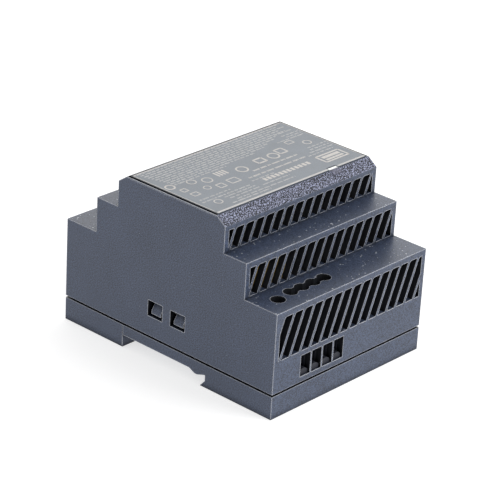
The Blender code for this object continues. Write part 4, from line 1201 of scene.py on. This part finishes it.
def adjuster():
    low, high = span("adjuster_body")
    x, y = ADJUSTER.x, ADJUSTER.y
    body = boxes("trimmer_case", [(low, high)])
    round_edges(body, 0.35)
    well = rods("trimmer_well", [(x, y, high.z - 0.35)], "Z", 2.5, 2)
    bore = rods("trimmer_bore", [(x, y, 14.5)], "Z", 1.6, 4, 32)
    cut(body, well, bore)
    settle(body, "case", BLUE, ["adjuster_body"])
    leads = [((x + shift - 0.25, y - 0.25, 6.6), (x + shift + 0.25, y + 0.25, low.z + 0.2)) for shift in (-2.0, 0.0, 2.0)]
    settle(boxes("trimmer_leads", leads), "case", TIN)
    foot, top = ROTOR_LOW, ROTOR_HIGH
    radius = (top.x - foot.x) / 2
    shape = bmesh.new()
    profile = [(0, 0), (1.2, 0), (1.3, 0.15), (1.3, 2.0), (radius - 0.15, 2.0), (radius, 2.15), (radius, 3.5)]
    profile += [(radius - 0.2, 3.8), (1.75, 3.8), (1.6, 3.62), (0, 3.62)]
    add_turned(shape, profile, (x, y, foot.z))
    dial = make_piece("trimmer_dial", shape)
    slot = boxes("dial_slot", [((x - 1.55, y - 0.35, top.z - 0.9), (x + 1.55, y + 0.35, top.z + 1))])
    pointer = boxes("dial_pointer", [((x + 1.4, y - 0.16, top.z - 0.35), (x + 3, y + 0.16, top.z + 1))])
    cut(dial, slot, pointer)
    settle(dial, "adjuster_dial", IVORY, ["adjuster_rotor"])


def lamp():
    """Light guide whose tip shows a white lens on top and a dull, translucent slope, and the lamp under it."""
    low, high = GUIDE_LOW, GUIDE_HIGH
    slope = (SHELL_TOP - BEVEL_FOOT) / (TOP_HALF - LABEL_HALF)
    tip = high.z
    outline = [
        (high.y, low.z),
        (high.y, tip),
        (-LABEL_HALF, tip),
        (low.y - 0.2, tip - slope * (-LABEL_HALF - low.y)),
        (low.y - 0.2, tip - slope * (-LABEL_HALF - low.y) - 1.5),
        (low.y, tip - slope * (-LABEL_HALF - low.y) - 1.5),
        (low.y, low.z),
    ]
    side_gap = GAP - 0.08
    guide = prism("lamp_guide", outline, "X", low.x - side_gap, high.x + side_gap)
    round_edges(guide, 0.25, 4)
    settle(guide, "case", LENS, ["light_guide"])
    foot, top = span("status_led")
    x, y = (foot.x + top.x) / 2, (foot.y + top.y) / 2
    radius = (top.x - foot.x) / 2
    shape = bmesh.new()
    profile = [(0, 0), (radius, 0), (radius, 0.5), (radius - 0.2, 0.55), (radius - 0.2, 2.3)]
    for index in range(1, 7):
        angle = math.pi / 2 * index / 6
        profile.append(((radius - 0.2) * math.cos(angle), 2.3 + 1.2 * math.sin(angle)))
    add_turned(shape, profile, (x, y, foot.z), sides=40)
    settle(make_piece("lamp_bulb", shape), "case", BULB, ["status_led"])


# ---------------------------------------------------------------- electronics


def body_with_leads(name, node, body_material, leads, replaced=True, edge=0.3, cuts=()):
    """A moulded body from a CAD node's box, cut as asked, with separate metal leads."""
    low, high = span(node)
    piece = boxes(name, [(low, high)])
    round_edges(piece, edge)
    if cuts:
        cut(piece, boxes(name + "_cuts", cuts))
    settle(piece, "case", body_material, [node] if replaced else [])
    if leads:
        settle(boxes(name + "_leads", leads), "case", TIN)


CHIP_PLACES = [(x, y) for x in (12, 15, 26) for y in (-24, -20, -16, 22, 25)] + [(-27, 22), (-27, 25)]


def circuit_board_piece():
    low, high = span("main_board")
    board = boxes("circuit_board", [(low, high)])
    holes = rods("board_holes", [(x, y, low.z - 1) for x in (-27, 27) for y in (-39, 39)], "Z", 1.3, 4, 32)
    corners = [((sx * high.x - 1.5, sy * high.y - 1.5, low.z - 1), (sx * high.x + 1.5, sy * high.y + 1.5, high.z + 1)) for sx in (-1, 1) for sy in (-1, 1)]
    cut(board, holes, boxes("board_corners", corners))
    settle(board, "case", BOARD, ["main_board"])
    draw = random.Random(3)
    dots = bmesh.new()
    for _ in range(110):
        spot = (draw.uniform(-29, 29), draw.uniform(-36, 36), low.z + 0.01)
        add_turned(dots, [(0, 0), (0.9, 0), (0.5, -0.22), (0, -0.3)], spot, sides=12)
    settle(make_piece("solder_joints", dots), "case", TIN)
    bodies, ends = bmesh.new(), bmesh.new()
    for x, y in CHIP_PLACES:
        if (x + y) % 2:
            along, across = Vector((1, 0, 0)), Vector((0, 1, 0))
        else:
            along, across = Vector((0, 1, 0)), Vector((1, 0, 0))
        middle = Vector((x, y, high.z))
        half = along * 0.7 + across * 0.35
        add_box(bodies, middle - half, middle + half + Vector((0, 0, 0.55)))
        for end in (-1, 1):
            spot = middle + along * 0.85 * end
            half = along * 0.18 + across * 0.4
            add_box(ends, spot - half, spot + half + Vector((0, 0, 0.58)))
    settle(make_piece("chip_bodies", bodies), "case", BLACK_EPOXY)
    settle(make_piece("chip_ends", ends), "case", TIN)


def upright_can(node):
    """Standing electrolytic capacitor: a shrunk sleeve, a rolled groove, and a vented metal top with its bare rim."""
    low, high = span(node)
    x, y = (low.x + high.x) / 2, (low.y + high.y) / 2
    radius, height = (high.x - low.x) / 2, high.z - low.z
    shape = bmesh.new()
    profile = [(0, 0.2), (radius - 0.9, 0.2), (radius - 0.9, 0.0), (radius - 0.4, 0.0), (radius, 0.5), (radius, 1.8)]
    profile += [(radius - 0.1, 2.1), (radius - 0.35, 2.45), (radius - 0.1, 2.8), (radius, 3.1), (radius, height - 0.8)]
    profile += [(radius - 0.25, height - 0.2), (radius - 0.7, height), (radius - 1.2, height - 0.05), (radius - 1.25, height - 0.4), (0, height - 0.4)]
    add_turned(shape, profile, (x, y, low.z), sides=64)
    settle(make_piece(node + "_sleeve", shape), "case", SLEEVE, [node])
    lid = rods(node + "_lid", [(x, y, high.z - 0.5)], "Z", radius - 1.3, 0.3, 64)
    reach = radius * 0.62
    scores = boxes(
        node + "_scores",
        [((x - reach, y - 0.15, high.z - 0.32), (x + reach, y + 0.15, high.z)), ((x - 0.15, y - reach, high.z - 0.32), (x + 0.15, y + reach, high.z))],
    )
    cut(lid, scores, crossing=True)
    settle(lid, "case", ALUMINIUM)
    band = bmesh.new()
    angles = [math.radians(200 + 5 * index) for index in range(11)]
    outer = [(x + (radius + 0.02) * math.cos(angle), y + (radius + 0.02) * math.sin(angle)) for angle in angles]
    inner = [(x + (radius - 0.1) * math.cos(angle), y + (radius - 0.1) * math.sin(angle)) for angle in angles]
    add_prism(band, outer + inner[::-1], "Z", low.z + 3.4, high.z - 1.0)
    settle(make_piece(node + "_band", band), "case", BAND_GREY)


def disc_part(node, material, foot, lead_reach=2.45):
    """Dipped disc with a domed, slightly bulging coat and two straight leads."""
    low, high = span(node)
    x, y = (low.x + high.x) / 2, (low.y + high.y) / 2
    radius, thick = (high.x - low.x) / 2, high.y - low.y
    shape = bmesh.new()
    profile = [(0, 0)]
    for index in range(1, 14):
        angle = math.pi * index / 14
        profile.append((radius - 0.45 * thick * (1 - math.sin(angle)), thick / 2 * (1 - math.cos(angle))))
    profile.append((0, thick))
    add_turned(shape, profile, (x, low.y, foot + radius), "Y", 56)
    settle(make_piece(node + "_coat", shape), "case", material, [node])
    leads = bmesh.new()
    for side in (-1, 1):
        add_rod(leads, (x + side * lead_reach, y, low.z - 0.5), "Z", 0.32, foot + radius * 0.45 - low.z + 0.5, 16)
        add_rod(leads, (x + side * lead_reach, y, foot - 0.9), "Z", 0.75, 2.6, 20, 0.4)
    settle(make_piece(node + "_leads", leads), "case", TIN)


def ring_choke():
    """A ferrite ring with two coils, one on each side, that wrap round it turn by turn."""
    low, high = span("choke_core")
    x, y, z = (low + high) / 2
    outer, inner, half = (high.z - low.z) / 2, 4.6, (high.x - low.x) / 2
    profile = [(inner + 0.3, -half), (outer - 0.3, -half), (outer, -half + 0.3), (outer, half - 0.3)]
    profile += [(outer - 0.3, half), (inner + 0.3, half), (inner, half - 0.3), (inner, -half + 0.3)]
    sides = 72
    shape = bmesh.new()
    rings = []
    for radius, height in profile:
        angles = [2 * math.pi * index / sides for index in range(sides)]
        rings.append(
            [shape.verts.new((x + height, y + radius * math.cos(a), z + radius * math.sin(a))) for a in angles]
        )
    for ring, after in zip(rings, rings[1:] + rings[:1]):
        for index in range(sides):
            following = (index + 1) % sides
            shape.faces.new((ring[index], ring[following], after[following], after[index]))
    settle(make_piece("choke_ring", shape), "case", FERRITE, ["choke_core"])
    gauge = 0.5
    near, far, reach = inner - GAP - gauge, outer + GAP + gauge, half + GAP + gauge
    turns, per_turn, spread = 8, 20, 140
    for number, facing in ((1, 1), (2, -1)):
        points = []
        for index in range(turns * per_turn + 1):
            around = 2 * math.pi * index / per_turn
            along, out = math.cos(around), math.sin(around)
            squarer = [math.copysign(abs(value) ** 0.4, value) for value in (along, out)]
            radius = (near + far) / 2 + (far - near) / 2 * squarer[1]
            angle = math.radians(spread * (index / (turns * per_turn) - 0.5))
            points.append(
                (x + reach * squarer[0], y + facing * radius * math.cos(angle), z + radius * math.sin(angle))
            )
        coil = wire(f"choke_coil_{number}", points, gauge, sides=2)
        settle(coil, "case", COPPER, [f"choke_winding_{number}"])


def transformer():
    low, high = span("transformer_core")
    core = boxes("ferrite_core", [(low, high)])
    round_edges(core, 0.5)
    windows = boxes("core_windows", [((a, low.y - 2, low.z + 4), (b, high.y + 2, high.z - 4)) for a, b in ((-10.2, -4), (4, 10.2))])
    middle = (low.z + high.z) / 2
    split = boxes("core_split", [((a, low.y - 1, middle - 0.08), (b, high.y + 1, middle + 0.08)) for a, b in ((-15, -13.7), (13.7, 15))])
    cut(core, windows, split)
    settle(core, "case", FERRITE, ["transformer_core"])
    foot, top = span("transformer_winding")
    room = boxes("leg_room", [((-4.3, -6.3, foot.z - 1), (4.3, 6.3, top.z + 1))])
    coil = boxes("taped_coil", [((foot.x + 0.4, foot.y + 0.4, foot.z + 1.0), (top.x - 0.4, top.y - 0.4, top.z - 1.0))])
    round_edges(coil, 1.8, 6)
    grooves = boxes("tape_steps", [((foot.x - 1, foot.y - 1, z), (top.x + 1, foot.y + 0.48, z + 0.12)) for z in (20.0, 25.5, 29.0)])
    cut(coil, room, grooves)
    settle(coil, "case", TAPE, ["transformer_winding"])
    flanges = boxes("bobbin", [((foot.x, foot.y, foot.z), (top.x, top.y, foot.z + 0.9)), ((foot.x, foot.y, top.z - 0.9), (top.x, top.y, top.z))])
    round_edges(flanges, 0.25)
    cut(flanges, boxes("bobbin_room", [((-4.3, -6.3, foot.z - 1), (4.3, 6.3, top.z + 1))]))
    settle(flanges, "case", BLACK_EPOXY)
    pins = [(x, y, 7.5) for x in (-7.5, -5, -2.5, 2.5, 5, 7.5) for y in (-9.3, 9.3)]
    settle(rods("bobbin_pins", pins, "Z", 0.4, foot.z - 7.4, 16), "case", TIN)


def x_box(start, end, low_y, high_y, low_z, high_z):
    low_x, high_x = sorted((start, end))
    return (low_x, low_y, low_z), (high_x, high_y, high_z)


def heatsink(node, side, package):
    """Extruded heatsink with a ribbed back, its package, and the screw that clamps them."""
    low, high = span(node)
    inner, outer = (low.x, high.x) if side > 0 else (high.x, low.x)
    back = inner + side * 2.0
    plate = boxes(node + "_plate", [x_box(inner, back, low.y, high.y, low.z, high.z)])
    pitch = (high.y - low.y - 1.2) / 8
    fins = [
        x_box(back - side * 0.5, outer, low.y + pitch * index, low.y + pitch * index + 1.2, low.z, high.z - 0.02)
        for index in range(9)
    ]
    join(plate, boxes(node + "_fins", fins))
    round_edges(plate, 0.15, 2)
    settle(plate, "case", ALUMINIUM, [node])
    y = sum(corner.y for corner in span(package)) / 2
    face = inner - side * GAP
    front = face - side * 4.4
    mould = boxes(package + "_mould", [x_box(face - side * 0.05, front, y - 5, y + 5, 16, 25)])
    round_edges(mould, 0.35)
    cut(mould, rods(package + "_dimple", [(front - (0.2 if side < 0 else 1.0), y - 3.2, 23.2)], "X", 0.7, 1.2, 24))
    settle(mould, "case", BLACK_EPOXY, [package])
    hole_z = 28.6
    tab = boxes(package + "_tab", [x_box(face, face - side * 1.3, y - 4.9, y + 4.9, 20, 31.5)])
    cut(tab, rods(package + "_tab_hole", [(face - 3, y, hole_z)], "X", 1.9, 6, 40))
    round_edges(tab, 0.15, 2)
    settle(tab, "case", TIN)
    middle = (face + front) / 2
    leads = []
    for shift in (-2.54, 0, 2.54):
        leads.append(((middle - 0.3, y + shift - 0.4, 7.0), (middle + 0.3, y + shift + 0.4, 12.5)))
        leads.append(((middle - 0.3, y + shift - 0.65, 12.5), (middle + 0.3, y + shift + 0.65, 16.4)))
    settle(boxes(package + "_leads", leads), "case", TIN)
    start = face - side * 1.3
    end = start - side * 2.2
    shape = bmesh.new()
    add_rod(shape, (min(start, start - side * 0.5), y, hole_z), "X", 3.0, 0.5, 40)
    add_rod(shape, (min(start - side * 0.4, end), y, hole_z), "X", 2.6, 1.8, 40)
    bolt = make_piece(node + "_screw", shape)
    round_edges(bolt, 0.2, 3, 40)
    across = [(1.7, 0.3), (0.3, 1.7)]
    cross = [
        boxes(f"{node}_cross_{index}", [x_box(end - 0.8, end + 0.8, y - wide, y + wide, hole_z - tall, hole_z + tall)])
        for index, (wide, tall) in enumerate(across)
    ]
    cut(bolt, *cross)
    settle(bolt, "case", STEEL)


def drum_choke():
    low, high = span("output_choke")
    x, y = (low.x + high.x) / 2, (low.y + high.y) / 2
    radius, height = (high.x - low.x) / 2, high.z - low.z
    shape = bmesh.new()
    profile = [(0, 0), (radius - 0.3, 0), (radius, 0.3), (radius, 1.7), (radius - 0.3, 2.0), (5.2, 2.0), (5.2, height - 2.0)]
    profile += [(radius - 0.3, height - 2.0), (radius, height - 1.7), (radius, height - 0.3), (radius - 0.3, height), (1.6, height), (1.3, height - 0.5), (0, height - 0.5)]
    add_turned(shape, profile, (x, y, low.z), sides=56)
    settle(make_piece("drum_core", shape), "case", FERRITE, ["output_choke"])
    turns, per_turn, gauge = 10, 28, 0.37
    points = []
    for index in range(turns * per_turn + 1):
        angle = 2 * math.pi * index / per_turn
        rise = (height - 4 - 2 * gauge) * index / (turns * per_turn)
        points.append((x + 5.6 * math.cos(angle), y + 5.6 * math.sin(angle), low.z + 2 + gauge + rise))
    settle(wire("drum_coil", points, gauge, sides=2), "case", COPPER)


def small_parts():
    fuse_low, fuse_high = span("fuse")
    body_with_leads(
        "fuse_block", "fuse", FUSE_CASE,
        [((x - 0.3, 35.4, 7.2), (x + 0.3, 36.1, fuse_low.z + 0.3)) for x in (23.7, 28.8)],
        edge=0.45, cuts=[((23.0, 32.0, 15.4), (29.5, 33.75, 15.8)), ((23.0, 32.0, 10.2), (29.5, 33.75, 10.6))],
    )
    low, high = span("filter_capacitor")
    body_with_leads(
        "film_capacitor", "filter_capacitor", YELLOW_CASE,
        [((x - 0.4, 36.6, 7.2), (x + 0.4, 37.4, low.z + 0.3)) for x in (-19.0, -4.0)],
        edge=0.6, cuts=[((low.x + 1.0, low.y + 1.0, high.z - 0.25), (high.x - 1.0, high.y - 1.0, high.z + 1))],
    )
    low, high = span("bridge_rectifier")
    bridge = boxes("bridge_mould", [((low.x, low.y, 11.9), (high.x, high.y, high.z))])
    round_edges(bridge, 0.4)
    corner = prism("bridge_corner", [(high.x - 2.4, high.z + 1), (high.x + 1, high.z + 1), (high.x + 1, high.z - 2.4)], "Y", low.y - 1, high.y + 1)
    hole = rods("bridge_hole", [(14.8, low.y - 1, 19.5)], "Y", 1.7, 6, 40)
    cut(bridge, corner, hole)
    settle(bridge, "case", BLACK_EPOXY, ["bridge_rectifier"])
    leads = [((x - 0.5, 28.4, 7.2), (x + 0.5, 29.1, 12.4)) for x in (10.3, 13.3, 16.3, 19.3)]
    leads += [((x - 0.75, 28.4, 10.4), (x + 0.75, 29.1, 12.4)) for x in (10.3, 13.3, 16.3, 19.3)]
    settle(boxes("bridge_leads", leads), "case", TIN)
    for name, node, count in (("coupler_mould", "optocoupler", 2), ("chip_mould", "controller_chip", 4)):
        low, high = span(node)
        piece = boxes(name, [((low.x, low.y + 0.45, low.z + 0.15), (high.x, high.y - 0.45, high.z))])
        round_edges(piece, 0.25)
        cut(piece, rods(name + "_dot", [(low.x + 1.1, low.y + 1.5, high.z - 0.15)], "Z", 0.45, 1, 24))
        settle(piece, "case", BLACK_EPOXY, [node])
        step = (high.x - low.x) / count
        leads = []
        for index in range(count):
            x = low.x + step * (index + 0.5)
            for inside, outside in ((low.y + 0.6, low.y), (high.y - 0.6, high.y)):
                a, b = sorted((inside, outside))
                leads.append(((x - 0.3, a, high.z - 1.1), (x + 0.3, b, high.z - 0.85)))
                c, d = sorted((outside, outside + (0.2 if outside == low.y else -0.2)))
                leads.append(((x - 0.3, c, low.z - 0.25), (x + 0.3, d, high.z - 0.85)))
        settle(boxes(name + "_leads", leads), "case", TIN)


def electronics():
    circuit_board_piece()
    for node in ("bulk_capacitor", "output_capacitor_1", "output_capacitor_2"):
        upright_can(node)
    disc_part("varistor", BLUE_EPOXY, 12.0)
    disc_part("safety_capacitor", BLUE_EPOXY, 11.0)
    disc_part("thermistor", DARK_EPOXY, 11.5)
    ring_choke()
    transformer()
    heatsink("primary_heatsink", 1, "switching_transistor")
    heatsink("secondary_heatsink", -1, "output_rectifier")
    drum_choke()
    small_parts()


# ---------------------------------------------------------------- studio


BACK_GLOW = Vector((0.75, 0.66, 0.3)).normalized()


def world_light():
    """A white tent that is brightest behind the object, seen from the camera."""
    world = bpy.data.worlds.new("studio")
    bpy.context.scene.world = world
    world.use_nodes = True
    nodes, links = world.node_tree.nodes, world.node_tree.links
    background = nodes["Background"]
    background.inputs["Color"].default_value = (1, 1, 1, 1)
    place = nodes.new("ShaderNodeTexCoord")
    along = nodes.new("ShaderNodeVectorMath")
    along.operation = "DOT_PRODUCT"
    along.inputs[1].default_value = BACK_GLOW
    glow = nodes.new("ShaderNodeMapRange")
    glow.interpolation_type = "SMOOTHSTEP"
    for key, value in (("From Min", 0.1), ("From Max", 1.0), ("To Min", 0.92), ("To Max", 2.3)):
        glow.inputs[key].default_value = value
    height = nodes.new("ShaderNodeSeparateXYZ")
    overhead = nodes.new("ShaderNodeMapRange")
    overhead.interpolation_type = "SMOOTHSTEP"
    for key, value in (("From Min", 0.35), ("From Max", 1.0), ("To Min", 1.0), ("To Max", 0.32)):
        overhead.inputs[key].default_value = value
    both = nodes.new("ShaderNodeMath")
    both.operation = "MULTIPLY"
    links.new(place.outputs["Generated"], along.inputs[0])
    links.new(place.outputs["Generated"], height.inputs[0])
    links.new(along.outputs["Value"], glow.inputs["Value"])
    links.new(height.outputs["Z"], overhead.inputs["Value"])
    links.new(glow.outputs["Result"], both.inputs[0])
    links.new(overhead.outputs["Result"], both.inputs[1])
    links.new(both.outputs[0], background.inputs["Strength"])


def soft_light(name, place, aim, size, power):
    light = bpy.data.lights.new(name, "AREA")
    light.size = size
    light.energy = power
    lamp = bpy.data.objects.new(name, light)
    lamp.location = place
    lamp.rotation_euler = (Vector(aim) - Vector(place)).to_track_quat("-Z", "Y").to_euler()
    bpy.context.scene.collection.objects.link(lamp)


def studio_floor():
    shape = bmesh.new()
    bmesh.ops.create_grid(shape, x_segments=1, y_segments=1, size=2000)
    floor = make_piece("studio_floor", shape, bpy.context.scene.collection)
    graph = Graph("studio_paper")
    paper = graph.noise(1.5, 3.0)
    tone = graph.remap(paper, 0.3, 0.7, 0.99, 1.0)
    paint = graph.shade((0.5, 0.5, 0.5), tone)
    floor.data.materials.append(
        graph.done(Base_Color=paint, Roughness=0.9, Emission_Color=(1, 1, 1), Emission_Strength=0.66)
    )
    floor.location.z = -0.0001


CAMERA_AZIMUTH = math.radians(-48.67)
CAMERA_ELEVATION = math.radians(25.12)
CAMERA_ROLL = math.radians(3.35)
CAMERA_DISTANCE = 746.5
CAMERA_AIM = Vector((8.85, 5.72, 25.0))
CAMERA_LENS = 166.9


def studio_camera():
    level = math.cos(CAMERA_ELEVATION)
    back = Vector(
        (
            math.sin(CAMERA_AZIMUTH) * level,
            -math.cos(CAMERA_AZIMUTH) * level,
            math.sin(CAMERA_ELEVATION),
        )
    )
    right = Vector((0, 0, 1)).cross(back).normalized()
    up = back.cross(right)
    turned_right = right * math.cos(CAMERA_ROLL) + up * math.sin(CAMERA_ROLL)
    turned_up = up * math.cos(CAMERA_ROLL) - right * math.sin(CAMERA_ROLL)
    data = bpy.data.cameras.new("camera")
    data.lens = CAMERA_LENS
    data.clip_end = 20
    camera = bpy.data.objects.new("camera", data)
    turn = Matrix((turned_right, turned_up, back)).transposed().to_4x4()
    camera.matrix_world = Matrix.Translation((CAMERA_AIM + back * CAMERA_DISTANCE) * MM) @ turn
    bpy.context.scene.collection.objects.link(camera)
    bpy.context.scene.camera = camera


def studio():
    world_light()
    soft_light("key_light", (0.35, -0.75, 0.6), (0, 0, 0.03), 0.5, 6.0)
    studio_floor()
    studio_camera()
    bpy.context.scene.view_settings.view_transform = "Standard"


front_shell()
rail_base()
label()
rail_latch()
latch_spring()
terminals()
adjuster()
lamp()
electronics()
studio()
